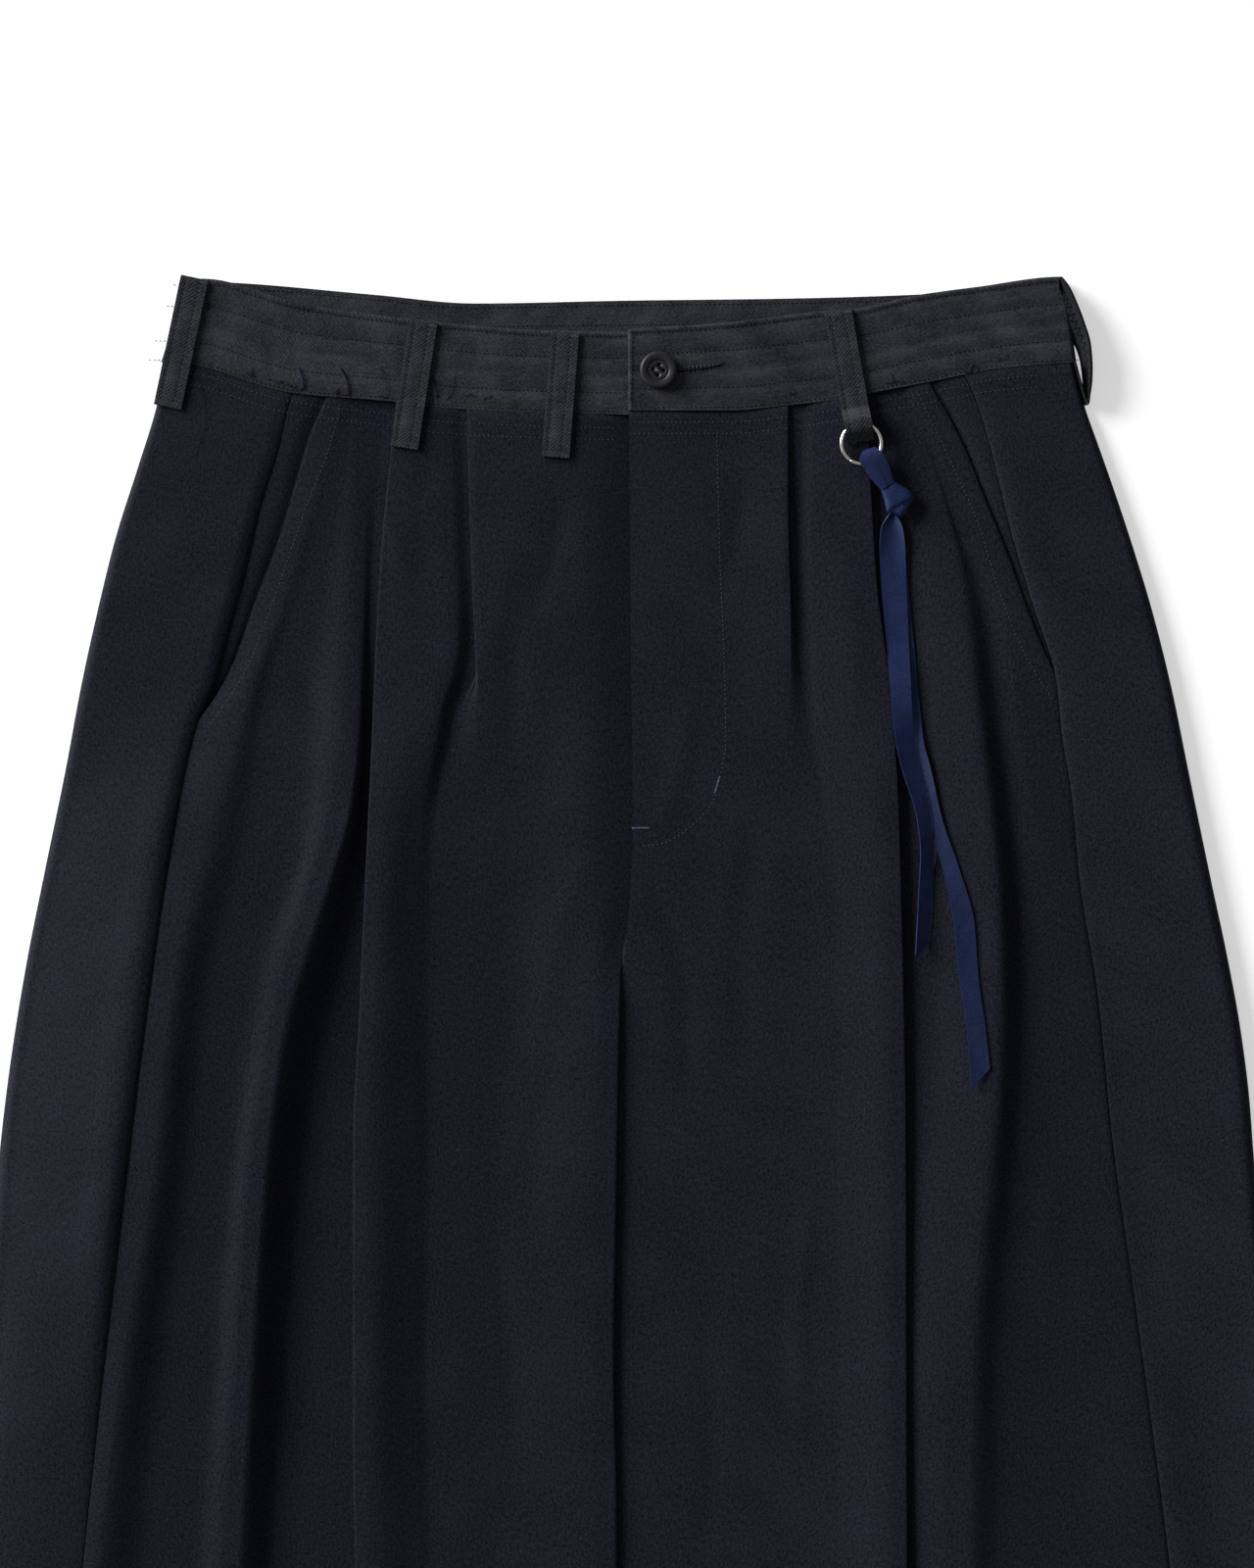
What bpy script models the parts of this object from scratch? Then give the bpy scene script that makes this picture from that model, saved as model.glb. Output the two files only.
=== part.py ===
"""Wide-leg slacks laid flat on their back on a surface, front up.

The surface is Z = 0, +Y runs to the waist and +X to the wearer's left. Inside this file sizes are millimetres:
"down" is the distance from the top of the side of the waistband towards the hem, and "out" is the distance from
the centre line towards a side. Each cloth piece is a wall round a lofted sheet of cross-sections, and each
cross-section is worked out from the fold lines that run down the panel.
"""

import math
from typing import NamedTuple

import bmesh
import bpy
from mathutils import Vector

# Driving sizes, in millimetres
MM = 0.001
HEM_DOWN = 1036.0
CLOTH = 1.0
CLEARANCE = 0.4
LAYER = CLOTH + CLEARANCE
SEAM_GAP = 0.5
FLOOR_LAYER = CLOTH / 2
FIRST_LAYER = FLOOR_LAYER + LAYER

BAND_CLOTH = 1.8
BAND_BACK_Z = BAND_CLOTH / 2
BAND_FRONT_Z = 3.6
BAND_OVERLAP_Z = 5.8
OVERLAP_END_OUT = 0.9
UNDERLAP_END_OUT = -26.0
OVERLAP_SETTLES_OUT = 62.0

LOOP_WIDTH = 12.0
LOOP_CLOTH = 1.4

BUTTON_RADIUS = 8.5
BUTTON_THICK = 3.0
BUTTON_OUT = 14.3
BUTTON_DOWN = 42.5
BUTTON_HOLE_OUT = 2.4
BUTTON_HOLE_RADIUS = 0.9
BUTTON_HOLE_TURN = -8.0

RING_RADIUS = 9.1
WIRE_RADIUS = 0.9
RING_OUT = 106.8
RING_DOWN = 76.0

RIBBON_CLOTH = 1.0
RIBBON_WIDTH = 9.6

# Where the curved waist seam ends and the rows of a panel run straight across
WAIST_DOWN = 63.5
WAIST_FADE = 120.0

RIGHT = -1
LEFT = 1

ROWS = (63.5, 74, 90, 110, 132, 156, 180, 204, 230, 258, 286, 314, 345, 385, 440, 510, 600, 720, 860, HEM_DOWN)


class Line(NamedTuple):
    """One fold or edge of a panel: pairs of (down, out), and pairs of (down, height of the cloth's middle)."""

    out: tuple
    height: tuple


class Pleat(NamedTuple):
    """A knife pleat whose fold faces the side seam: its edge, how deep it folds under and how far it opens."""

    edge: tuple
    height: tuple
    depth: tuple
    opened: tuple


class Front(NamedTuple):
    """A front panel's fold lines, in order from its side edge to the centre."""

    roll: Line
    dip: Line
    rise: Line
    crest: Line
    brow: Line
    floor: Line
    outer_pleat: Pleat
    valley: Line
    inner_pleat: Pleat
    broad: Line
    shoulder: Line
    centre: Line
    inner_leg: tuple
    turned_down: tuple


NEVER = ((0, 0), (HEM_DOWN, 0))

# The seam that joins front and back down the side, and the outermost fold of the back panel
SIDE_SEAM = {
    RIGHT: ((39, 146), (52.7, 152.9), (80, 159.6), (102.8, 166.7), (134.5, 174.3), (163.2, 182.4),
            (188.2, 189.5), (203, 196), (263.3, 207.9), (285.6, 211.4), (365.6, 222.2), (465.3, 234.2),
            (588.7, 248.1), (HEM_DOWN, 292)),
    LEFT: ((39, 151), (52.7, 157.8), (66.6, 162.7), (88.5, 168.5), (121.1, 176.6), (150.2, 185.5),
           (183.3, 195.8), (208.7, 198.5), (236, 202.9), (274.5, 206.5), (325.9, 214.6), (395.6, 221.7),
           (465.3, 231.5), (586.9, 247.6), (HEM_DOWN, 292)),
}
SIDE_FOLD = {
    RIGHT: ((39, 211), (57.2, 214.6), (88, 223.9), (117.6, 233.3), (150.2, 241.4), (186.8, 249.4),
            (223, 256.1), (275.8, 266.9), (311.6, 274), (355.8, 281.2), (387.5, 285.2), (465, 292.5),
            (589, 304), (767, 320), (HEM_DOWN, 340)),
    LEFT: ((39, 204), (59, 209.2), (75.5, 215), (101, 223.9), (122.9, 231.1), (154.2, 240.5),
           (190.4, 249.4), (223.5, 256.1), (275.8, 266.9), (311.6, 274.5), (343.7, 280.3),
           (375.5, 284.3), (399.6, 286.1), (465, 292.5), (589, 304), (767, 320), (HEM_DOWN, 340)),
}
SEAM_HEIGHT = ((39, 3.3), (194, 3.3), (230, 3.0), (HEM_DOWN, 2.7))
SIDE_FOLD_HEIGHT = ((39, 3.8), (100, 5.2), (250, 6.5), (589, 7.0), (HEM_DOWN, 5.0))

# The slanted edge of each pocket, which the front panel keeps until it reaches the side seam
POCKET_MOUTH = {
    RIGHT: ((52, 136), (72, 144.8), (91.6, 150.6), (121.1, 159.6), (148.4, 169.9), (177, 180.1),
            (194, 189.5), (214, 207)),
    LEFT: ((46, 136.8), (75.5, 152.9), (97.4, 161.8), (124.7, 173), (154.2, 183.7), (176, 193.0),
           (196, 206)),
}
POCKET_END_DOWN = {RIGHT: 192.0, LEFT: 178.0}
FACING_TUCK = 5.0
POCKET_SHUT_ROW = 250.0

# The lower edge of the waistband, in front and behind, as pairs of (signed distance from the centre, down)
BAND_FOOT = {
    RIGHT: ((-215, 38.5), (-202.5, 39.3), (-152.9, 52.7), (-105, 56.8), (-90.7, 59.0), (-36.7, 61.7),
            (40, 63.5)),
    LEFT: ((-10, 60.8), (47, 60.8), (71.5, 58.6), (97.9, 55.4), (111.3, 52.7), (137.2, 47.8), (173.4, 41.1),
           (215, 38.0)),
}
BAND_FOOT_BACK = ((-215, 38.5), (-150, 43.0), (0, 46.0), (150, 42.5), (215, 38.0))
BAND_TOP = {
    RIGHT: ((-215, 1.0), (-193.5, 0.9), (-149.3, 12.1), (-99.2, 19.2), (-34.4, 24.6), (40, 25.6)),
    LEFT: ((-10, 24.6), (44.7, 21.0), (90.3, 15.6), (102.8, 14.8), (131.9, 8.5), (160.9, 4.5), (198, 0.0),
           (215, 0.0)),
}
BAND_TOP_BACK = ((-215, 0.6), (-178.8, 2.2), (-115.8, 7.6), (-69.3, 11.6), (0, 10.3), (71.5, 9.4),
                 (131.9, 7.6), (215, 0.0))
BAND_FOLD_TOP = {RIGHT: 198.5, LEFT: 197.5}
BAND_FOLD_FOOT = {RIGHT: 210.5, LEFT: 203.0}

RIGHT_FRONT = Front(
    roll=Line(
        ((55, 131), (100, 143), (150, 161), (203, 189), (295.9, 200), (355.8, 209.2), (415.3, 216.8),
         (455.5, 223.5), (588.7, 236), (HEM_DOWN, 280)),
        ((55, 3.4), (150, 3.8), (203, 4.6), (263, 5.8), (365, 6.6), (589, 6.4), (HEM_DOWN, 5)),
    ),
    dip=Line(
        ((55, 127.5), (100, 139), (150, 152), (203, 172), (295.9, 181), (355.8, 190), (415.3, 198),
         (455.5, 205.6), (588.7, 216.8), (HEM_DOWN, 258)),
        ((55, 3.1), (203, 3.4), (300, 3.2), (HEM_DOWN, 2.6)),
    ),
    rise=Line(
        ((55, 125.5), (103, 138), (172, 148), (217, 156), (260, 162), (330, 174), (365, 182), (445, 192),
         (589, 201), (HEM_DOWN, 240)),
        ((55, 2.8), (103, 3.3), (172, 4.0), (217, 4.8), (260, 5.6), (330, 6.0), (589, 5.6), (HEM_DOWN, 4)),
    ),
    crest=Line(
        ((55, 122.5), (102.8, 135), (172.1, 138.1), (217.7, 142.1), (245, 146.6), (275.8, 151),
         (331.7, 164.5), (365.6, 172.5), (445.2, 181.5), (588.7, 186.4), (HEM_DOWN, 222)),
        ((55, 2.6), (100, 3.4), (172, 5.0), (217, 7.0), (260, 9.5), (320, 11.5), (589, 11.5),
         (HEM_DOWN, 7.5)),
    ),
    brow=Line(
        ((55, 117), (100, 122), (150, 124), (208.7, 125), (245, 127.5), (275.8, 136.3), (311.6, 148.4),
         (341.5, 158.2), (415.3, 163.2), (515.4, 168.5), (588.7, 171.2), (HEM_DOWN, 210)),
        ((55, 2.3), (100, 2.6), (172, 3.6), (217, 5.6), (260, 8.2), (330, 9.2), (589, 8), (HEM_DOWN, 5)),
    ),
    floor=Line(
        ((55, 108.5), (79, 111), (113, 115), (150, 118), (214.6, 120.5), (245, 122.5), (275.8, 130),
         (311.6, 140), (341.5, 147), (415.3, 150), (515.4, 153.3), (588.7, 154.2), (HEM_DOWN, 190)),
        ((55, FIRST_LAYER + 0.1), (HEM_DOWN, FIRST_LAYER + 0.2)),
    ),
    outer_pleat=Pleat(
        ((55, 105), (79, 107.3), (113, 110.9), (150.6, 113.5), (214.6, 116.2), (274.5, 118.9),
         (335.7, 121.6), (395.6, 124.3), (535, 124.3), (588.7, 123.4), (HEM_DOWN, 128)),
        ((55, 4.8), (150, 5.4), (214, 6.6), (275, 7.6), (365, 8.0), (589, 8.0), (HEM_DOWN, 6)),
        ((55, 14), (200, 13), (365, 11), (HEM_DOWN, 9)),
        NEVER,
    ),
    valley=Line(
        ((55, 78), (172, 76), (189, 77.8), (214.6, 84.5), (274.5, 94.8), (313.8, 101), (395.6, 100.6),
         (475, 97), (588.7, 92), (HEM_DOWN, 95)),
        ((55, 2.0), (172, 2.2), (205, 3.6), (275, 4.2), (589, 4.6), (HEM_DOWN, 3.6)),
    ),
    inner_pleat=Pleat(
        ((55, 72.9), (120.7, 71.1), (172, 68.8), (189, 67.5), (214.6, 71), (274.5, 78), (313.8, 82),
         (475, 79), (588.7, 76), (HEM_DOWN, 78)),
        ((62, 4.8), (172, 5.0), (205, 5.6), (275, 6.2), (589, 6.4), (HEM_DOWN, 5)),
        ((62, 10), (140, 8), (176, 1.2), (HEM_DOWN, 1.2)),
        ((178, 0), (203, 1), (HEM_DOWN, 1)),
    ),
    broad=Line(
        ((63, 38), (137.7, 31.3), (206, 28.2), (257, 31.3), (375.5, 36.7), (589, 35.8), (HEM_DOWN, 42)),
        ((63, 4.4), (137, 4.8), (206, 5.4), (375, 6.8), (589, 7.2), (HEM_DOWN, 5.6)),
    ),
    shoulder=Line(
        ((63, 12), (250, 12), (340, 15), (589, 17), (HEM_DOWN, 24)),
        ((63, 2.7), (137, 2.9), (250, 3.3), (300, 4.4), (345, 6.4), (589, 7.0), (HEM_DOWN, 5.4)),
    ),
    centre=Line(
        ((63, -5.5), (240, -5.5), (270, -1.5), (300, 3.6), (1000, 3.6)),
        ((63, FIRST_LAYER + 0.05), (HEM_DOWN, FIRST_LAYER + 0.05)),
    ),
    inner_leg=((290, 3.2), (313, 3.8), (343, 4.7), (410, 6.0), (499, 7.2), (565, 6.0), (700, 6.5),
               (HEM_DOWN, 14)),
    turned_down=((285, 0), (325, 1), (HEM_DOWN, 1)),
)

LEFT_FRONT = Front(
    roll=Line(
        ((50, 131), (100, 154), (124, 164), (159.6, 176), (208.7, 183), (253.4, 187), (342.8, 190),
         (395.6, 191.3), (454.6, 194.4), (588.7, 203.4), (HEM_DOWN, 255)),
        ((48, 3.4), (120, 3.5), (159, 3.9), (208, 4.8), (298, 5.6), (589, 5.5), (HEM_DOWN, 4.5)),
    ),
    dip=Line(
        ((50, 127.5), (106, 150), (154.2, 164.5), (199.8, 169), (253.4, 175.2), (298, 178.8),
         (342.8, 179.7), (395.6, 177), (454.6, 174.3), (521.6, 170.8), (588.7, 169), (HEM_DOWN, 205)),
        ((48, 3.0), (106, 3.0), (154, 2.7), (200, 2.5), (HEM_DOWN, 2.5)),
    ),
    rise=Line(
        ((50, 125.5), (92, 143), (135.9, 154.7), (172, 160.9), (199.8, 163.6), (227, 165.8), (274.5, 170.3),
         (315.6, 172.5), (375.5, 169.9), (425.5, 167.2), (475, 164.5), (525, 159.6), (588.7, 156.5),
         (HEM_DOWN, 185)),
        ((48, 2.6), (92, 3.2), (154, 4.8), (200, 6.4), (275, 8.4), (345, 9), (475, 8), (589, 6.5),
         (HEM_DOWN, 4.5)),
    ),
    crest=Line(
        ((50, 122.5), (123.8, 139.5), (186.4, 145.3), (253.4, 152), (298, 154.2), (342.8, 152),
         (395.6, 147.5), (454.6, 144.2), (588.7, 142.5), (HEM_DOWN, 160)),
        ((48, 2.5), (92, 3.6), (154, 5.6), (200, 7.5), (275, 9.8), (475, 10), (589, 9.5), (HEM_DOWN, 6.5)),
    ),
    brow=Line(
        ((50, 117.5), (186, 129.8), (276, 132.6), (343, 133.6), (589, 134.6), (HEM_DOWN, 148)),
        ((48, 2.4), (150, 3.6), (200, 4.8), (275, 6.2), (345, 6.6), (589, 7), (HEM_DOWN, 5)),
    ),
    floor=Line(
        ((50, 112.5), (186, 123.6), (276, 128.4), (343, 129.2), (589, 130.6), (HEM_DOWN, 140)),
        ((48, FIRST_LAYER + 0.1), (200, 2.4), (300, 2.7), (HEM_DOWN, 2.4)),
    ),
    outer_pleat=Pleat(
        ((50, 109), (141.7, 114), (172, 118), (218, 122.5), (245.4, 123.8), (275.8, 124.7), (395.6, 126.9),
         (588.7, 127.4), (HEM_DOWN, 132)),
        ((48, 4.8), (150, 5.4), (218, 6.6), (300, 7.3), (589, 7.6), (HEM_DOWN, 5.8)),
        ((50, 12), (HEM_DOWN, 10)),
        NEVER,
    ),
    valley=Line(
        ((50, 80), (117.6, 78), (190, 80), (236, 84), (300, 88), (589, 90), (HEM_DOWN, 92)),
        ((50, 2.0), (150, 2.2), (200, 3.6), (260, 4.6), (330, 5.2), (589, 5.6), (HEM_DOWN, 4.4)),
    ),
    inner_pleat=Pleat(
        ((50, 73.3), (99, 73.3), (163, 74.6), (236, 73), (300, 71), (589, 70), (HEM_DOWN, 72)),
        ((60, 4.8), (163, 5.2), (236, 5.9), (589, 6.2), (HEM_DOWN, 5)),
        ((60, 10), (120, 8), (154, 1.2), (HEM_DOWN, 1.2)),
        ((154, 0), (180, 1), (HEM_DOWN, 1)),
    ),
    broad=Line(
        ((60, 55), (236, 50), (589, 44), (HEM_DOWN, 46)),
        ((60, 5.1), (95, 4.8), (150, 5.0), (236, 5.6), (589, 6.0), (HEM_DOWN, 5)),
    ),
    shoulder=Line(
        ((60, 20), (300, 18), (HEM_DOWN, 18)),
        ((60, 5.7), (95, 4.5), (236, 4.9), (320, 5.0), (589, 5.4), (HEM_DOWN, 4.6)),
    ),
    centre=Line(
        ((60.8, 0.9), (170.8, 1.8), (251, 2.7), (285, 1.2), (310, -1.6), (1000, -1.6)),
        ((60.8, 5.8), (95, 3.9), (240, 3.8), (290, 3.6), (HEM_DOWN, 3.6)),
    ),
    inner_leg=((290, -1.0), (313, -2.2), (343, -3.1), (410, -4.4), (499, -5.6), (565, -4.2), (700, -2.0),
               (HEM_DOWN, 4)),
    turned_down=((300, 0), (335, 1), (HEM_DOWN, 1)),
)
FRONTS = {RIGHT: RIGHT_FRONT, LEFT: LEFT_FRONT}
FOLD_LIP = 1.5


def clamp(value, low=0.0, high=1.0):
    """Value held between low and high."""
    return max(low, min(high, value))


def mix(start, end, share):
    """The value a share of the way from start to end."""
    return start + (end - start) * share


def ease(value):
    """A smooth step from 0 to 1."""
    value = clamp(value)
    return value * value * (3 - 2 * value)


def slopes(knots):
    """Slopes at the knots of a smooth curve that never swings past them."""
    chords = [(b[1] - a[1]) / (b[0] - a[0]) for a, b in zip(knots, knots[1:])]
    inner = []
    for (a, b, c), before, after in zip(zip(knots, knots[1:], knots[2:]), chords, chords[1:]):
        if before * after <= 0:
            inner.append(0.0)
            continue
        weight_before = 2 * (c[0] - b[0]) + (b[0] - a[0])
        weight_after = (c[0] - b[0]) + 2 * (b[0] - a[0])
        inner.append((weight_before + weight_after) / (weight_before / before + weight_after / after))
    return [chords[0], *inner, chords[-1]]


def smooth(knots, at):
    """A smooth curve through pairs of (position, value), held level beyond its ends."""
    if at <= knots[0][0]:
        return knots[0][1]
    if at >= knots[-1][0]:
        return knots[-1][1]
    tangents = slopes(knots)
    for (a, b), start, end in zip(zip(knots, knots[1:]), tangents, tangents[1:]):
        if at <= b[0]:
            width = b[0] - a[0]
            t = (at - a[0]) / width
            return (
                a[1] * (1 + 2 * t) * (1 - t) ** 2
                + b[1] * t * t * (3 - 2 * t)
                + width * (start * t * (1 - t) ** 2 - end * t * t * (1 - t))
            )
    return knots[-1][1]


def level(foot, side, row, out):
    """How far down a point of a row lies: rows follow the curved waist seam and then straighten."""
    fade = clamp(1 - (row - WAIST_DOWN) / WAIST_FADE)
    return row + (smooth(foot, side * out) + SEAM_GAP - WAIST_DOWN) * fade


def out_on(pairs, foot, side, row):
    """Where a fold line crosses a row, as (out, down)."""
    down = row
    for _ in range(4):
        out = smooth(pairs, down)
        down = level(foot, side, row, out)
    return out, down


def wave(points, counts):
    """Points of a smooth wave through the given (out, height) points, whose out falls from first to last."""
    knots = [(-out, height) for out, height in points]
    made = [points[0]]
    for (start, end), count in zip(zip(knots, knots[1:]), counts):
        for step in range(1, count + 1):
            at = mix(start[0], end[0], step / count)
            made.append((-at, smooth(knots, at)))
    return made


def half_turn(out, start, end, bulge, count):
    """Points round a fold from height start to height end, bulging by the given signed distance."""
    middle = (start + end) / 2
    half = (end - start) / 2
    made = []
    for step in range(count + 1):
        angle = math.pi * step / count
        made.append((out + bulge * math.sin(angle), middle - half * math.cos(angle)))
    return made


def pleat_turns(pleat, foot, side, row, low, detail):
    """The two turns of a knife pleat, as (out, height), from its lower layer to its top layer."""
    edge, down = out_on(pleat.edge, foot, side, row)
    high = smooth(pleat.height, down)
    depth = smooth(pleat.depth, down)
    lip = clamp((high - low - LAYER) / 2, LAYER / 2, FOLD_LIP)
    under = half_turn(edge - depth, low, low + LAYER, -LAYER / 2, 3 * detail)
    over = half_turn(edge, high - 2 * lip, high, lip * 0.8, 4 * detail)
    return under + over


def front_edge(side, row):
    """Where a front's side edge crosses a row, as (out, down): the pocket's mouth, then the side seam."""
    foot = BAND_FOOT[side]
    mouth = out_on(POCKET_MOUTH[side], foot, side, row)
    seam_out, seam_down = out_on(SIDE_SEAM[side], foot, side, row)
    seam_out -= SEAM_GAP / 2
    return mouth if mouth[0] < seam_out and row < POCKET_SHUT_ROW else (seam_out, seam_down)


def front_section(side, row, detail=1):
    """A front panel's cross-section at a row, from the side seam to the centre, as (out, height)."""
    front = FRONTS[side]
    foot = BAND_FOOT[side]

    def on(line):
        """Where a line crosses this row, and its height there."""
        out, down = out_on(line.out, foot, side, row)
        return out, smooth(line.height, down)

    edge_out, edge_down = front_edge(side, row)
    edge_height = smooth(SEAM_HEIGHT, edge_down)
    floor = on(front.floor)
    outer = pleat_turns(front.outer_pleat, foot, side, row, floor[1], detail)
    side_wave = wave(
        [(edge_out, edge_height),
        (edge_out - 1.5, edge_height), on(front.roll), on(front.dip), on(front.rise),
         on(front.crest), on(front.brow), floor, outer[0]],
        [n * detail for n in (1, 2, 2, 2, 2, 2, 2, 1)],
    )

    valley = on(front.valley)
    inner = pleat_turns(front.inner_pleat, foot, side, row, valley[1], detail)
    opened = smooth(front.inner_pleat.opened, out_on(front.inner_pleat.edge, foot, side, row)[1])
    edge = inner[-1]
    slope = []
    for step in range(len(inner)):
        share = (step + 1) / len(inner)
        slope.append((mix(valley[0], edge[0], share), mix(valley[1], edge[1], ease(share))))
    inner = [
        (mix(folded[0], flat[0], opened), mix(folded[1], flat[1], opened)) for folded, flat in zip(inner, slope)
    ]
    top = outer[-1]
    past_fold = (outer[0][0] - 2.5, top[1] + 0.2)
    middle_wave = wave(
        [top, past_fold, valley, inner[0]],
        [n * detail for n in (1, 3, 2)],
    )

    broad = on(front.broad)
    shoulder = on(front.shoulder)
    end = centre_end(front, foot, side, row, shoulder, detail)
    centre_wave = wave([edge, broad, shoulder, end[0]], [n * detail for n in (2, 2, 2)])
    return side_wave + outer[1:] + middle_wave[1:] + inner[1:] + centre_wave[1:] + end[1:]


def centre_end(front, foot, side, row, shoulder, detail):
    """The last points of a front: flat at the centre seam, or turned down round the inner leg."""
    count = 4 * detail
    flat_out, down = out_on(front.centre.out, foot, side, row)
    flat_height = smooth(front.centre.height, down)
    turned = ease(smooth(front.turned_down, down))
    inner = smooth(front.inner_leg, down)
    top = shoulder[1] - 0.3
    reach = top - FLOOR_LAYER - 2.6
    made = []
    for step in range(count + 1):
        share = step / count
        flat = (mix(flat_out + 4.5, flat_out, share), flat_height)
        angle = math.pi / 2 * clamp(share * count / (count - 1))
        down_turn = (
            inner + reach * 0.8 * (1 - math.sin(angle)),
            top - reach * (1 - math.cos(angle)),
        )
        if step == count:
            down_turn = (inner, FLOOR_LAYER + CLOTH / 2 + CLEARANCE)
        made.append((mix(flat[0], down_turn[0], turned), mix(flat[1], down_turn[1], turned)))
    return made


def back_section(side, row, detail=1):
    """A back panel's cross-section at a row, (out, down, height) from the centre round the side to the seam."""
    front = FRONTS[side]
    foot = BAND_FOOT[side]
    down_back = level(BAND_FOOT_BACK, side, row, 0)
    crotch = ease((down_back - 285) / 40)
    centre = mix(SEAM_GAP / 2, smooth(front.inner_leg, down_back) - CLOTH / 2, crotch)
    fold_out, fold_down = out_on(SIDE_FOLD[side], foot, side, row)
    fold_out -= CLOTH / 2
    fold_height = smooth(SIDE_FOLD_HEIGHT, fold_down)
    seam_out, seam_down = out_on(SIDE_SEAM[side], foot, side, row)
    seam_out += SEAM_GAP / 2
    seam_height = smooth(SEAM_HEIGHT, seam_down)
    bulge = 1.5 * (fold_height - FLOOR_LAYER) / 2
    turn_out = fold_out - bulge

    flat_count = 4 * detail
    made = []
    for step in range(flat_count):
        out = mix(centre, turn_out, step / flat_count)
        made.append((out, level(BAND_FOOT_BACK, side, row, out), FLOOR_LAYER))
    turn = half_turn(turn_out, FLOOR_LAYER, fold_height, bulge, 6 * detail)
    flap = wave(
        [(turn_out, fold_height), (turn_out - 9, fold_height + 0.25),
         (mix(turn_out, seam_out, 0.55), fold_height - 0.1), (seam_out + 1.5, seam_height),
         (seam_out, seam_height)],
        [n * detail for n in (1, 2, 3, 1)],
    )
    for out, height in turn + flap[1:]:
        made.append((out, level(foot, side, row, out), height))
    return made


def place(out, down, height, side=1):
    """A point in metres, from millimetres out, down and up."""
    return Vector((side * out * MM, (HEM_DOWN / 2 - down) * MM, height * MM))


def material_of(name, colour, roughness, metallic=0.0):
    """A plain finish, made once and shared by the pieces of one cloth or metal."""
    made = bpy.data.materials.get(name) or bpy.data.materials.new(name)
    made.use_nodes = True
    shader = made.node_tree.nodes["Principled BSDF"]
    shader.inputs["Base Color"].default_value = (*colour, 1.0)
    shader.inputs["Roughness"].default_value = roughness
    shader.inputs["Metallic"].default_value = metallic
    return made


def navy():
    """Navy gabardine."""
    return material_of("navy_gabardine", (0.010, 0.013, 0.022), 0.8)


def charcoal():
    """The charcoal reverse of the cloth, on band and loops."""
    return material_of("charcoal_twill", (0.034, 0.037, 0.039), 0.9)


def ribbon_blue():
    """Blue satin ribbon."""
    return material_of("blue_ribbon", (0.014, 0.022, 0.100), 0.5)


def add_object(name, mesh, material, collection):
    """A mesh as a named object in the collection, with its finish."""
    made = bpy.data.objects.new(name, mesh)
    mesh.materials.append(material)
    collection.objects.link(made)
    return made


def sheet_object(name, rows, wall, material, collection):
    """A cloth piece: a sheet lofted through rows of points, given its thickness."""
    shape = bmesh.new()
    grid = [[shape.verts.new(point) for point in row] for row in rows]
    for upper, lower in zip(grid, grid[1:]):
        for a, b, c, d in zip(upper, upper[1:], lower[1:], lower):
            shape.faces.new((a, b, c, d))
    bmesh.ops.recalc_face_normals(shape, faces=shape.faces)
    mesh = bpy.data.meshes.new(name)
    shape.to_mesh(mesh)
    shape.free()
    mesh.shade_smooth()
    made = add_object(name, mesh, material, collection)
    solidify = made.modifiers.new("wall", "SOLIDIFY")
    solidify.thickness = wall * MM
    solidify.offset = 0
    return made


def build_front(side, name, collection):
    """A front panel from waist seam to hem."""
    foot = BAND_FOOT[side]
    rows = []
    for row in ROWS:
        section = front_section(side, row)
        rows.append([place(out, level(foot, side, row, out), height, side) for out, height in section])
    return sheet_object(name, rows, CLOTH, navy(), collection)


def build_back(side, name, collection):
    """A back panel, flat on the surface and wrapped round the side."""
    rows = [[place(*point, side) for point in back_section(side, row)] for row in ROWS]
    return sheet_object(name, rows, CLOTH, navy(), collection)


def build_facing(side, name, collection):
    """The strip of pocket facing from the side seam to just under the pocket's edge."""
    foot = BAND_FOOT[side]
    rows = []
    count = 7
    columns = 4
    start = WAIST_DOWN
    for step in range(count + 1):
        row = mix(start, POCKET_END_DOWN[side], step / count)
        seam, seam_down = out_on(SIDE_SEAM[side], foot, side, row)
        mouth, _ = front_edge(side, row)
        outer = seam - SEAM_GAP / 2
        inner = mouth - FACING_TUCK
        lift = clamp((outer - mouth - 2) / 8) * (smooth(SEAM_HEIGHT, seam_down) - FIRST_LAYER)
        points = []
        for column in range(columns + 1):
            out = mix(outer, inner, column / columns)
            rise = clamp((out - mouth - 1) / max(outer - mouth - 1, 1.0))
            height = FIRST_LAYER + lift * ease(rise)
            points.append(place(out, level(foot, side, row, out), height, side))
        rows.append(points)
    return sheet_object(name, rows, CLOTH, navy(), collection)


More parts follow.
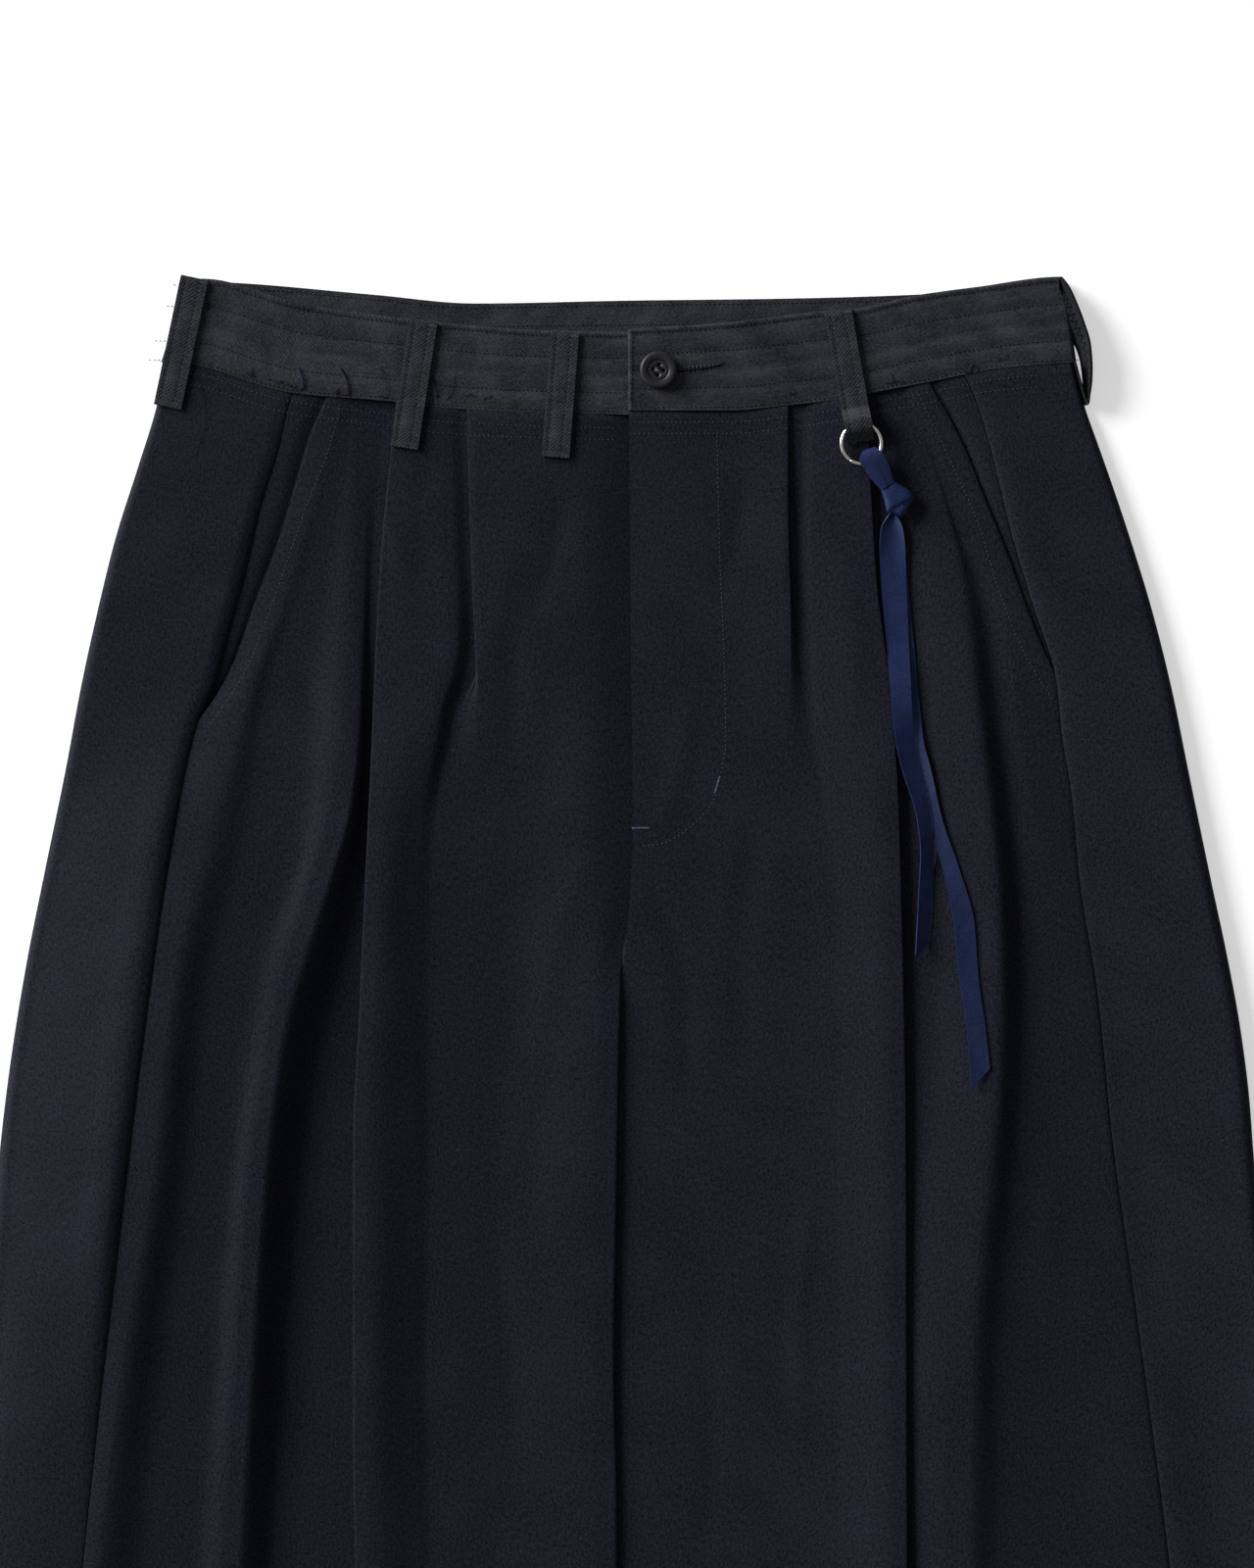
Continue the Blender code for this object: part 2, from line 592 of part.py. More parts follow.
def band_columns(detail=1):
    """The waistband's columns along the strip, as (signed out at the top, height, side, share of the back)."""
    columns = []
    front_steps = 22 * detail
    back_steps = 10 * detail
    turn_steps = 4 * detail
    right_fold = -BAND_FOLD_TOP[RIGHT]
    left_fold = BAND_FOLD_TOP[LEFT]
    for step in range(front_steps):
        out = mix(-UNDERLAP_END_OUT, right_fold, step / front_steps)
        columns.append((out, BAND_FRONT_Z, RIGHT, 0.0))
    for out, height in half_turn(right_fold, BAND_FRONT_Z, BAND_BACK_Z, -1.4, turn_steps):
        columns.append((out, height, RIGHT, (BAND_FRONT_Z - height) / (BAND_FRONT_Z - BAND_BACK_Z)))
    for step in range(1, back_steps):
        out = mix(right_fold, left_fold, step / back_steps)
        columns.append((out, BAND_BACK_Z, RIGHT if out < 0 else LEFT, 1.0))
    for out, height in half_turn(left_fold, BAND_BACK_Z, BAND_FRONT_Z, 1.4, turn_steps):
        columns.append((out, height, LEFT, (BAND_FRONT_Z - height) / (BAND_FRONT_Z - BAND_BACK_Z)))
    for step in range(1, front_steps + 1):
        out = mix(left_fold, OVERLAP_END_OUT, step / front_steps)
        lift = (BAND_OVERLAP_Z - BAND_FRONT_Z) * ease((OVERLAP_SETTLES_OUT - out) / 24)
        columns.append((out, BAND_FRONT_Z + lift, LEFT, 0.0))
    return columns


def band_point(column, share):
    """A point of the waistband, a share of the way from its top edge to its foot."""
    out, height, side, backness = column
    flare = BAND_FOLD_FOOT[RIGHT if out < 0 else LEFT] / BAND_FOLD_TOP[RIGHT if out < 0 else LEFT]
    foot_out = out * flare
    top = mix(smooth(BAND_TOP[side], out), smooth(BAND_TOP_BACK, out), backness)
    foot = mix(smooth(BAND_FOOT[side], foot_out), smooth(BAND_FOOT_BACK, foot_out), backness)
    return mix(out, foot_out, share), mix(top, foot, share), height


def build_band(collection):
    """The waistband, one strip from the underlap round the back to the overlap."""
    columns = band_columns()
    rows = [[place(*band_point(column, share)) for column in columns] for share in (0.0, 0.5, 1.0)]
    return sheet_object("waistband", rows, BAND_CLOTH, charcoal(), collection)


def cover_height(side, out, down):
    """The top of whatever cloth lies highest on the front at a place."""
    foot = BAND_FOOT[side]
    if down < smooth(foot, side * out) + SEAM_GAP:
        return BAND_FRONT_Z + BAND_CLOTH / 2
    row = down
    for _ in range(3):
        row += down - level(foot, side, row, out)
    row = max(row, WAIST_DOWN)
    front = front_section(side, row)
    back = [(point[0], point[2]) for point in back_section(side, row)]
    highest = FLOOR_LAYER
    for (out_a, height_a), (out_b, height_b) in [*zip(front, front[1:]), *zip(back, back[1:])]:
        low, high = min(out_a, out_b), max(out_a, out_b)
        if low - 0.3 <= out <= high + 0.3:
            share = clamp((out - out_a) / (out_b - out_a)) if out_a != out_b else 0.5
            highest = max(highest, mix(height_a, height_b, share), height_a, height_b)
    return highest + CLOTH / 2


def highest_near(side, out, down, reach, along=3.0):
    """The highest cloth within reach of a place, so that what lies there rests on it."""
    found = 0.0
    for across in (-1.0, -0.5, 0.0, 0.5, 1.0):
        for lengthways in (-along, 0.0, along):
            found = max(found, cover_height(side, out + across * reach, down + lengthways))
    return found


class Strip(NamedTuple):
    """A flat strip along a path: (out, down, height) at each station and its width there."""

    path: list
    widths: list


def strip_rows(strip, side, columns=2):
    """Rows of points across a strip, square to its path as seen from above."""
    rows = []
    path = strip.path
    for index, (out, down, height) in enumerate(path):
        before = path[max(index - 1, 0)]
        after = path[min(index + 1, len(path) - 1)]
        along = Vector((after[0] - before[0], after[1] - before[1]))
        if along.length < 1e-6:
            along = Vector((0.0, 1.0))
        along.normalize()
        across = Vector((along.y, -along.x))
        half = strip.widths[index] / 2
        points = []
        for column in range(columns + 1):
            shift = mix(-half, half, column / columns)
            points.append(place(out + across.x * shift, down + across.y * shift, height, side))
        rows.append(points)
    return rows


class Loop(NamedTuple):
    """A belt loop that lies on the band: its side, and (out, down) of the middles of its top and its foot."""

    name: str
    side: int
    top: tuple
    foot: tuple


LYING_LOOPS = (
    Loop("belt_loop_side_right", RIGHT, (197.0, 1.0), (209.5, 57.6)),
    Loop("belt_loop_front_right", RIGHT, (93.2, 20.6), (101.5, 77.0)),
    Loop("belt_loop_fly_right", RIGHT, (28.2, 26.4), (32.6, 82.0)),
)
RING_LOOP = Loop("belt_loop_ring", LEFT, (96.1, 15.6), (106.6, 74.9))
# Where the ring's loop lies on the band and the cloth, and where it passes over the ring's wire, as distances down
RING_LOOP_LIES = (15.6, 23.0, 31.0, 39.0, 47.0, 54.0, 59.5, 74.9)
RING_LOOP_OVER = (65.4, 71.2)
RING_LOOP_REACH = 4.5
LOOP_LIFT = CLEARANCE + LOOP_CLOTH / 2


def loop_heights(loop, stations):
    """Heights of a lying loop along its length: it bears on what is under it and bridges the hollows."""
    bare = []
    for step in range(stations + 1):
        share = step / stations
        out = mix(loop.top[0], loop.foot[0], share)
        down = mix(loop.top[1], loop.foot[1], share)
        reach = LOOP_WIDTH / 2
        bare.append(highest_near(loop.side, out, down, reach) + LOOP_LIFT)
    heights = []
    for index in range(len(bare)):
        near = bare[max(index - 1, 0):index + 2]
        heights.append(max(near))
    return heights


def build_lying_loop(loop, collection):
    """A belt loop that lies flat on the band and on the cloth below it."""
    stations = 8
    heights = loop_heights(loop, stations)
    path = []
    for step in range(stations + 1):
        share = step / stations
        out = mix(loop.top[0], loop.foot[0], share)
        down = mix(loop.top[1], loop.foot[1], share)
        path.append((out, down, heights[step]))
    strip = Strip(path, [LOOP_WIDTH] * len(path))
    return sheet_object(loop.name, strip_rows(strip, loop.side), LOOP_CLOTH, charcoal(), collection)


def ring_height():
    """Height of the ring's middle: it lies on the cloth with the ribbon's fold under it."""
    bed = highest_near(LEFT, RING_OUT, RING_DOWN, RING_RADIUS, RING_RADIUS)
    return bed + RIBBON_CLOTH + 2 * CLEARANCE + WIRE_RADIUS


def build_ring_loop(collection):
    """The belt loop that holds the ring: it passes over the wire and is sewn to the cloth inside the ring."""
    over = ring_height() + WIRE_RADIUS + CLEARANCE + LOOP_CLOTH / 2
    path = []
    for down in sorted(RING_LOOP_LIES + RING_LOOP_OVER):
        share = (down - RING_LOOP.top[1]) / (RING_LOOP.foot[1] - RING_LOOP.top[1])
        out = mix(RING_LOOP.top[0], RING_LOOP.foot[0], share)
        height = highest_near(LEFT, out, down, LOOP_WIDTH / 2, RING_LOOP_REACH) + LOOP_LIFT
        path.append((out, down, over if down in RING_LOOP_OVER else height))
    strip = Strip(path, [LOOP_WIDTH] * len(path))
    return sheet_object(RING_LOOP.name, strip_rows(strip, LEFT), LOOP_CLOTH, charcoal(), collection)


# The loop at the wearer's left side stands out from the band on its edge: (out, down) along it
STANDING_LOOP_PATH = ((203.6, 0.6), (206.0, 8.5), (208.8, 18.8), (211.4, 30.8), (212.9, 41.1),
                      (212.4, 49.5), (212.2, 56.5))
STANDING_LOOP_LEAN = 3.0
STANDING_LOOP_TOP = 9.4


def build_standing_loop(collection):
    """The belt loop that stands out beside the left fold, on its edge and leaning outwards."""
    rows = []
    for out, down in STANDING_LOOP_PATH:
        points = []
        for share in (0.0, 0.5, 1.0):
            height = mix(LOOP_CLOTH / 2, STANDING_LOOP_TOP, share)
            points.append(place(out - STANDING_LOOP_LEAN * (1 - share), down, height, LEFT))
        rows.append(points)
    return sheet_object("belt_loop_side_left", rows, LOOP_CLOTH, charcoal(), collection)


def turned_object(name, profile, steps, material, collection):
    """A turned piece from (radius, height) pairs that run down its outer side."""
    mesh = bpy.data.meshes.new(name)
    points = [(radius * MM, 0.0, height * MM) for radius, height in profile]
    mesh.from_pydata(points, [(i, i + 1) for i in range(len(points) - 1)], [])
    made = add_object(name, mesh, material, collection)
    screw = made.modifiers.new("turn", "SCREW")
    screw.steps = steps
    screw.render_steps = steps
    screw.use_merge_vertices = True
    screw.merge_threshold = 0.00001
    return made


def build_button(collection, cutters):
    """A dished four-hole button on the overlap."""
    profile = (
        (0.0, BUTTON_THICK * 0.62),
        (4.6, BUTTON_THICK * 0.62),
        (5.6, BUTTON_THICK * 0.92),
        (6.9, BUTTON_THICK),
        (8.1, BUTTON_THICK * 0.78),
        (BUTTON_RADIUS, BUTTON_THICK * 0.5),
        (7.9, BUTTON_THICK * 0.16),
        (5.5, 0.0),
        (0.0, 0.0),
    )
    made = turned_object("button", profile, 28, material_of("button", (0.012, 0.013, 0.015), 0.3), collection)
    base = BAND_OVERLAP_Z + BAND_CLOTH / 2 + CLEARANCE
    made.location = place(BUTTON_OUT, BUTTON_DOWN, base)
    for turn in range(4):
        angle = math.radians(BUTTON_HOLE_TURN + 90 * turn)
        shape = bmesh.new()
        bmesh.ops.create_cone(
            shape, cap_ends=True, segments=10, radius1=BUTTON_HOLE_RADIUS * MM, radius2=BUTTON_HOLE_RADIUS * MM,
            depth=3 * BUTTON_THICK * MM,
        )
        mesh = bpy.data.meshes.new(f"button_hole_{turn + 1}")
        shape.to_mesh(mesh)
        shape.free()
        cutter = bpy.data.objects.new(mesh.name, mesh)
        cutters.objects.link(cutter)
        outward = Vector((math.cos(angle), math.sin(angle), 0.5))
        cutter.location = made.location + outward * BUTTON_HOLE_OUT * MM
        cutter.hide_render = True
        cutter.display_type = "WIRE"
        cut = made.modifiers.new(f"hole_{turn + 1}", "BOOLEAN")
        cut.operation = "DIFFERENCE"
        cut.object = cutter
    return made


def build_ring(collection):
    """The wire ring, lying under its loop and round the loop's foot."""
    bpy.ops.mesh.primitive_torus_add(
        major_segments=32, minor_segments=8, major_radius=RING_RADIUS * MM, minor_radius=WIRE_RADIUS * MM
    )
    made = bpy.context.object
    made.name = "ring"
    made.location = place(RING_OUT, RING_DOWN, ring_height(), LEFT)
    made.data.materials.append(material_of("silver_wire", (0.62, 0.58, 0.54), 0.25, 1.0))
    made.data.shade_smooth()
    for owner in list(made.users_collection):
        owner.objects.unlink(made)
    collection.objects.link(made)
    return made


# The ribbon as seen from above, on the wearer's left: (out, down) along each stretch
RIBBON_TAKE_UP = (110.8, 80.8)
KNOT_TOP = (118.8, 93.6)
KNOT_MIDDLE = (122.2, 101.0)
KNOT_HALF = (6.4, 7.4, 2.5)
RIBBON_WIDTHS = ((109, 7.0), (120, 10.0), (186, 9.6), (222, 7.2), (275, 6.4), (310, 8.0), (366, 9.0))
SHORT_TAIL = ((121.0, 109.6), (120.9, 116.0), (121.1, 130.0), (122.6, 163.5), (125.4, 186.0),
              (128.3, 205.0), (131.6, 222.0), (135.2, 246.3), (137.2, 263.0), (136.7, 282.0),
              (133.6, 307.0))
LONG_TAIL = ((122.6, 109.6), (123.6, 130.0), (126.2, 163.5), (129.2, 186.0), (133.6, 205.0), (137.6, 222.0),
             (141.8, 246.3), (147.6, 270.0), (153.4, 294.1), (156.0, 318.3), (158.5, 342.0), (160.6, 366.0))
TAIL_LAYER = RIBBON_CLOTH + CLEARANCE + 0.2
TAIL_STATION = 13.0
TAILS_PART_DOWN = 268.0


def tails_bed(down):
    """The highest cloth under both tails at a distance down, with the narrow hollows bridged."""
    short_out = smooth([(d, out) for out, d in SHORT_TAIL], down)
    long_out = smooth([(d, out) for out, d in LONG_TAIL], down)
    middle = (short_out + long_out) / 2 if down < TAILS_PART_DOWN else long_out
    return highest_near(LEFT, middle, down, RIBBON_WIDTH / 2 + 3.0, TAIL_STATION)


def tail_path(points, layer):
    """A ribbon tail's path over the folds of the front: (out, down, height) at even stations."""
    knots_out = [(down, out) for out, down in points]
    first = points[0][1]
    last = points[-1][1]
    stations = round((last - first) / TAIL_STATION)
    path = []
    for step in range(stations + 1):
        down = mix(first, last, step / stations)
        bed = tails_bed(down)
        settled = highest_near(LEFT, smooth(knots_out, down), down, RIBBON_WIDTH / 2, TAIL_STATION)
        parted = ease((down - TAILS_PART_DOWN) / 20)
        height = mix(bed + layer * TAIL_LAYER, settled, parted) + CLEARANCE + RIBBON_CLOTH / 2
        path.append((smooth(knots_out, down), down, height))
    return path


def build_tails(collection):
    """The ribbon's two tails, the short one lying on the long one at first."""
    for name, points, layer, tip_slant in (
        ("ribbon_tail_short", SHORT_TAIL, 1, 5.0),
        ("ribbon_tail_long", LONG_TAIL, 0, 6.0),
    ):
        path = tail_path(points, layer)
        widths = [smooth(RIBBON_WIDTHS, down) for _, down, _ in path]
        rows = strip_rows(Strip(path, widths), LEFT)
        slant = Vector((0.0, tip_slant * MM, 0.0))
        rows[-1] = [point + slant * k for point, k in zip(rows[-1], (-0.5, 0.0, 0.5))]
        sheet_object(name, rows, RIBBON_CLOTH, ribbon_blue(), collection)


def build_ribbon_loop(collection):
    """The ribbon's fold over the ring's wire, drawn together towards the knot."""
    spread = WIRE_RADIUS + CLEARANCE + RIBBON_CLOTH / 2
    middle = ring_height()
    start = Vector(RIBBON_TAKE_UP)
    end = Vector(KNOT_TOP)
    along = (end - start).normalized()
    across = Vector((along.y, -along.x))
    length = (end - start).length - 0.6
    path = []
    for share in (1.0, 0.75, 0.5, 0.25):
        rise = ease((1 - share) / 0.6)
        path.append((length * share, mix(0.9, spread, rise), share))
    for angle in (0, 45, 90, 135, 180):
        turn = math.radians(angle)
        path.append((-spread * math.sin(turn), spread * math.cos(turn), 0.0))
    for share in (0.25, 0.5, 0.75, 1.0):
        rise = ease((1 - share) / 0.6)
        path.append((length * share, -mix(0.9, spread, rise), share))
    rows = []
    for run, height, share in path:
        half = mix(4.9, 3.0, ease(share))
        centre = start + along * run
        rows.append([place(*(centre + across * half * k), middle + height, LEFT) for k in (-1, 0, 1)])
    return sheet_object("ribbon_loop", rows, RIBBON_CLOTH, ribbon_blue(), collection)


def build_knot(collection):
    """The ribbon's knot, a soft lump with its turn showing as a ridge across it."""
    shape = bmesh.new()
    bmesh.ops.create_cube(shape, size=2.0)
    bmesh.ops.subdivide_edges(shape, edges=shape.edges, cuts=1, use_grid_fill=True)
    bed = highest_near(LEFT, KNOT_MIDDLE[0], KNOT_MIDDLE[1], 6.0, 6.0)
    middle_height = bed + CLEARANCE + KNOT_HALF[2] + 0.2
    tilt = math.radians(24)
    for corner in shape.verts:
        wide = corner.co.x * KNOT_HALF[0]
        long = corner.co.y * KNOT_HALF[1]
        pinch = 1 - 0.22 * abs(corner.co.y)
        wide *= pinch
        corner.co = Vector((
            (wide * math.cos(tilt) - long * math.sin(tilt)) * MM,
            (wide * math.sin(tilt) + long * math.cos(tilt)) * MM,
            corner.co.z * KNOT_HALF[2] * MM,
        ))
    mesh = bpy.data.meshes.new("ribbon_knot")
    shape.to_mesh(mesh)
    shape.free()
    mesh.shade_smooth()
    made = add_object("ribbon_knot", mesh, ribbon_blue(), collection)
    made.location = place(KNOT_MIDDLE[0], KNOT_MIDDLE[1], middle_height, LEFT)
    rounding = made.modifiers.new("rounding", "SUBSURF")
    rounding.levels = 1
    rounding.render_levels = 1
    return made


def main():
    """Clears the scene and builds every piece."""
    for old in list(bpy.data.objects):
        bpy.data.objects.remove(old)
    parts = bpy.data.collections.new("wide_leg_slacks")
    cutters = bpy.data.collections.new("cutters")
    bpy.context.scene.collection.children.link(parts)
    bpy.context.scene.collection.children.link(cutters)

    for side, word in ((RIGHT, "right"), (LEFT, "left")):
        build_back(side, f"back_{word}", parts)
        build_front(side, f"front_{word}", parts)
        build_facing(side, f"pocket_facing_{word}", parts)
    build_band(parts)
    for loop in LYING_LOOPS:
        build_lying_loop(loop, parts)
    build_ring_loop(parts)
    build_standing_loop(parts)
    build_button(parts, cutters)
    build_ring(parts)
    build_ribbon_loop(parts)
    build_knot(parts)
    build_tails(parts)


main()
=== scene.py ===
"""Looks of wide-leg slacks laid flat on their back, front up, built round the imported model.

Sizes inside the classes are millimetres, and place() turns them into metres. "Down" is the distance from the top
of the side of the waistband towards the hem, and "out" is the distance from the centre line towards a side. Right
and left are the wearer's. +Y runs to the waist, +X to the wearer's left, and the surface is Z = 0.
"""

import logging
import math
import random
from bisect import bisect_right
from collections.abc import Iterable, Sequence
from dataclasses import dataclass, field
from enum import Enum, IntEnum
from typing import ClassVar

import bmesh
import bpy
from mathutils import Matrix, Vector
from mathutils.bvhtree import BVHTree


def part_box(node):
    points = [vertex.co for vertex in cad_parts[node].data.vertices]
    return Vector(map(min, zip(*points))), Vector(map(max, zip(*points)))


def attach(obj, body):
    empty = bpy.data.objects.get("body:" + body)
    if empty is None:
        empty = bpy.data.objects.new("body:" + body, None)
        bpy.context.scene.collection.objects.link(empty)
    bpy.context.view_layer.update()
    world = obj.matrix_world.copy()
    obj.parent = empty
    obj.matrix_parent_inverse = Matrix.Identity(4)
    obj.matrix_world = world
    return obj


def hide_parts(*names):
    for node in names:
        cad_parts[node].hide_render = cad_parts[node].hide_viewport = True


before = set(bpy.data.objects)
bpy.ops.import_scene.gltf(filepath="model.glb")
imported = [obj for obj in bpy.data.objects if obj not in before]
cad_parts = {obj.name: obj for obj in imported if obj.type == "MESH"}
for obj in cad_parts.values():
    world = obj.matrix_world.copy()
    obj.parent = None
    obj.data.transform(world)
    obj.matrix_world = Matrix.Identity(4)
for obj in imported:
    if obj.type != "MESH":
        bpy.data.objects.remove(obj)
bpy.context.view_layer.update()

LOG = logging.getLogger("slacks")
BODY = "slacks"
RING_BODY = "ring"

Pair = tuple[float, float]
Triple = tuple[float, float, float]
Material = bpy.types.Material
Object = bpy.types.Object
Socket = bpy.types.NodeSocket

MM = 0.001
HEM = 1036.0
WAIST_DOWN = 63.5
WAIST_FADE = 120.0
CLOTH = 1.0
CLEARANCE = 0.4
LAYER = CLOTH + CLEARANCE
SEAM_GAP = 0.5
FLOOR_LAYER = CLOTH / 2
FIRST_LAYER = FLOOR_LAYER + LAYER


class Side(IntEnum):
    """The wearer's sides, as the sign of X."""

    RIGHT = -1
    LEFT = 1


RIGHT, LEFT = Side.RIGHT, Side.LEFT


def clamp(value: float, low: float = 0.0, high: float = 1.0) -> float:
    """Value held between low and high."""
    return max(low, min(high, value))


def mix(start: float, end: float, share: float) -> float:
    """The value a share of the way from start to end."""
    return start + (end - start) * share


def ease(value: float) -> float:
    """A smooth step from 0 to 1."""
    value = clamp(value)
    return value * value * (3 - 2 * value)


def steps(start: float, end: float, count: int) -> list[float]:
    """Values from start towards end in even steps, without the end itself."""
    return [mix(start, end, step / count) for step in range(count)]


def bell(value: float, middle: float, width: float) -> float:
    """A smooth hump of height 1 at a middle value."""
    return math.exp(-(((value - middle) / width) ** 2))


def around(count: int) -> list[float]:
    """The angles of points spaced evenly round a circle."""
    return [2 * math.pi * step / count for step in range(count)]


def place(out: float, down: float, height: float, side: int = 1) -> Vector:
    """A point in metres, from millimetres out, down and up."""
    return Vector((side * out * MM, (HEM / 2 - down) * MM, height * MM))


class Curve:
    """A smooth curve through knots of (position, value) that never swings past them, level beyond its ends."""

    def __init__(self, *knots: Pair) -> None:
        """Works out the slope at each knot.

        Args:
            knots: pairs of (position, value), in order of position.
        """
        self.at = [at for at, _ in knots]
        self.value = [value for _, value in knots]
        chords = [(b[1] - a[1]) / (b[0] - a[0]) for a, b in zip(knots, knots[1:])]
        inner = []
        for (a, b, c), before, after in zip(zip(knots, knots[1:], knots[2:]), chords, chords[1:]):
            if before * after <= 0:
                inner.append(0.0)
                continue
            near = 2 * (c[0] - b[0]) + (b[0] - a[0])
            far = (c[0] - b[0]) + 2 * (b[0] - a[0])
            inner.append((near + far) / (near / before + far / after))
        self.slope = [chords[0], *inner, chords[-1]]

    def __call__(self, at: float) -> float:
        """The curve's value at a position."""
        index = bisect_right(self.at, at) - 1
        if index < 0:
            return self.value[0]
        if index >= len(self.at) - 1:
            return self.value[-1]
        width = self.at[index + 1] - self.at[index]
        t = (at - self.at[index]) / width
        return (
            self.value[index] * (1 + 2 * t) * (1 - t) ** 2
            + self.value[index + 1] * t * t * (3 - 2 * t)
            + width * (self.slope[index] * t * (1 - t) ** 2 - self.slope[index + 1] * t * t * (1 - t))
        )


def curve(*numbers: float) -> Curve:
    """A curve through positions and values given in turn: a position, its value, the next position and so on."""
    return Curve(*zip(numbers[::2], numbers[1::2]))


@dataclass(frozen=True)
class Line:
    """One fold or edge of a panel: how far out it lies and how high the cloth's middle is, by distance down."""

    out: Curve
    height: Curve


@dataclass(frozen=True)
class Pleat:
    """A knife pleat whose fold faces the side seam: its edge, how deep it folds under and how far it opens."""

    edge: Curve
    height: Curve
    depth: Curve
    opened: Curve


@dataclass(frozen=True)
class Folds:
    """A front panel's fold lines, in order from its side edge to the centre."""

    roll: Line
    dip: Line
    rise: Line
    crest: Line
    brow: Line
    floor: Line
    outer_pleat: Pleat
    valley: Line
    inner_pleat: Pleat
    broad: Line
    shoulder: Line
    centre: Line
    inner_leg: Curve
    turned_down: Curve
    shelf: Curve


NEVER = curve(0, 0, HEM, 0)

SIDE_SEAM = {
    RIGHT: curve(39, 146, 52.7, 152.9, 80, 159.6, 102.8, 166.7, 134.5, 174.3, 163.2, 182.4, 188.2, 189.5, 203, 196,
                 263.3, 207.9, 285.6, 211.4, 365.6, 222.2, 465.3, 234.2, 588.7, 248.1, HEM, 292),
    LEFT: curve(39, 151, 52.7, 157.8, 66.6, 162.7, 88.5, 168.5, 121.1, 176.6, 150.2, 185.5, 183.3, 195.8, 208.7, 198.5,
                236, 202.9, 274.5, 206.5, 325.9, 214.6, 395.6, 221.7, 465.3, 231.5, 586.9, 247.6, HEM, 292),
}
SIDE_FOLD = {
    RIGHT: curve(39, 211, 57.2, 214.6, 88, 223.9, 117.6, 233.3, 150.2, 241.4, 186.8, 249.4, 223, 256.1, 275.8, 266.9,
                 311.6, 274, 355.8, 281.2, 387.5, 285.2, 465, 292.5, 589, 304, 767, 320, HEM, 340),
    LEFT: curve(
        39, 204, 59, 209.2, 75.5, 215, 101, 223.9, 122.9, 231.1, 154.2, 240.5, 190.4, 249.4, 223.5, 256.1,
        275.8, 266.9, 311.6, 274.5, 343.7, 280.3, 375.5, 284.3, 399.6, 286.1, 465, 292.5, 589, 304, 767, 320, HEM, 340,
    ),
}
SEAM_HEIGHT = {
    RIGHT: curve(39, 3.3, 140, 3.4, 186, 4.4, 210, 5.8, 253, 10.6, 320, 13.6, 410, 14, 499, 13.4, 571, 11.8, HEM, 7),
    LEFT: curve(39, 3.3, 150, 3.2, 215, 2.6, 300, 2.3, HEM, 2.2),
}
SIDE_FOLD_HEIGHT = {
    RIGHT: curve(39, 3.8, 100, 5.2, 250, 6.5, 320, 6.8, 410, 8.4, 499, 10, 589, 9.8, HEM, 6.5),
    LEFT: curve(39, 3.8, 100, 5.2, 250, 6.5, 589, 7, HEM, 5),
}
POCKET_MOUTH = {
    RIGHT: curve(52, 136, 72, 144.8, 91.6, 150.6, 121.1, 159.6, 148.4, 169.9, 177, 180.1, 194, 189.5, 214, 207),
    LEFT: curve(46, 136.8, 75.5, 152.9, 97.4, 161.8, 124.7, 173, 154.2, 183.7, 176, 193, 196, 206),
}
POCKET_END_DOWN = {RIGHT: 192.0, LEFT: 178.0}
POCKET_SHUT_ROW = 250.0
FACING_TUCK = 5.0
FOLD_LIP = 1.2

BAND_FOOT = {
    RIGHT: curve(-215, 38.5, -202.5, 39.3, -152.9, 52.7, -105, 56.8, -90.7, 59, -36.7, 61.7, 40, 63.5),
    LEFT: curve(-10, 60.8, 47, 60.8, 71.5, 58.6, 97.9, 55.4, 111.3, 52.7, 137.2, 47.8, 173.4, 41.1, 215, 38),
}
BAND_FOOT_BACK = curve(-215, 38.5, -150, 43, 0, 46, 150, 42.5, 215, 38)
BAND_TOP = {
    RIGHT: curve(-215, 1, -193.5, 0.9, -149.3, 12.1, -99.2, 19.2, -34.4, 24.6, 40, 25.6),
    LEFT: curve(-10, 24.6, 44.7, 21, 90.3, 15.6, 102.8, 14.8, 131.9, 8.5, 160.9, 4.5, 198, 0, 215, 0),
}
BAND_TOP_BACK = curve(-215, 0.6, -178.8, 2.2, -115.8, 7.6, -69.3, 11.6, 0, 10.3, 71.5, 9.4, 131.9, 7.6, 215, 0)

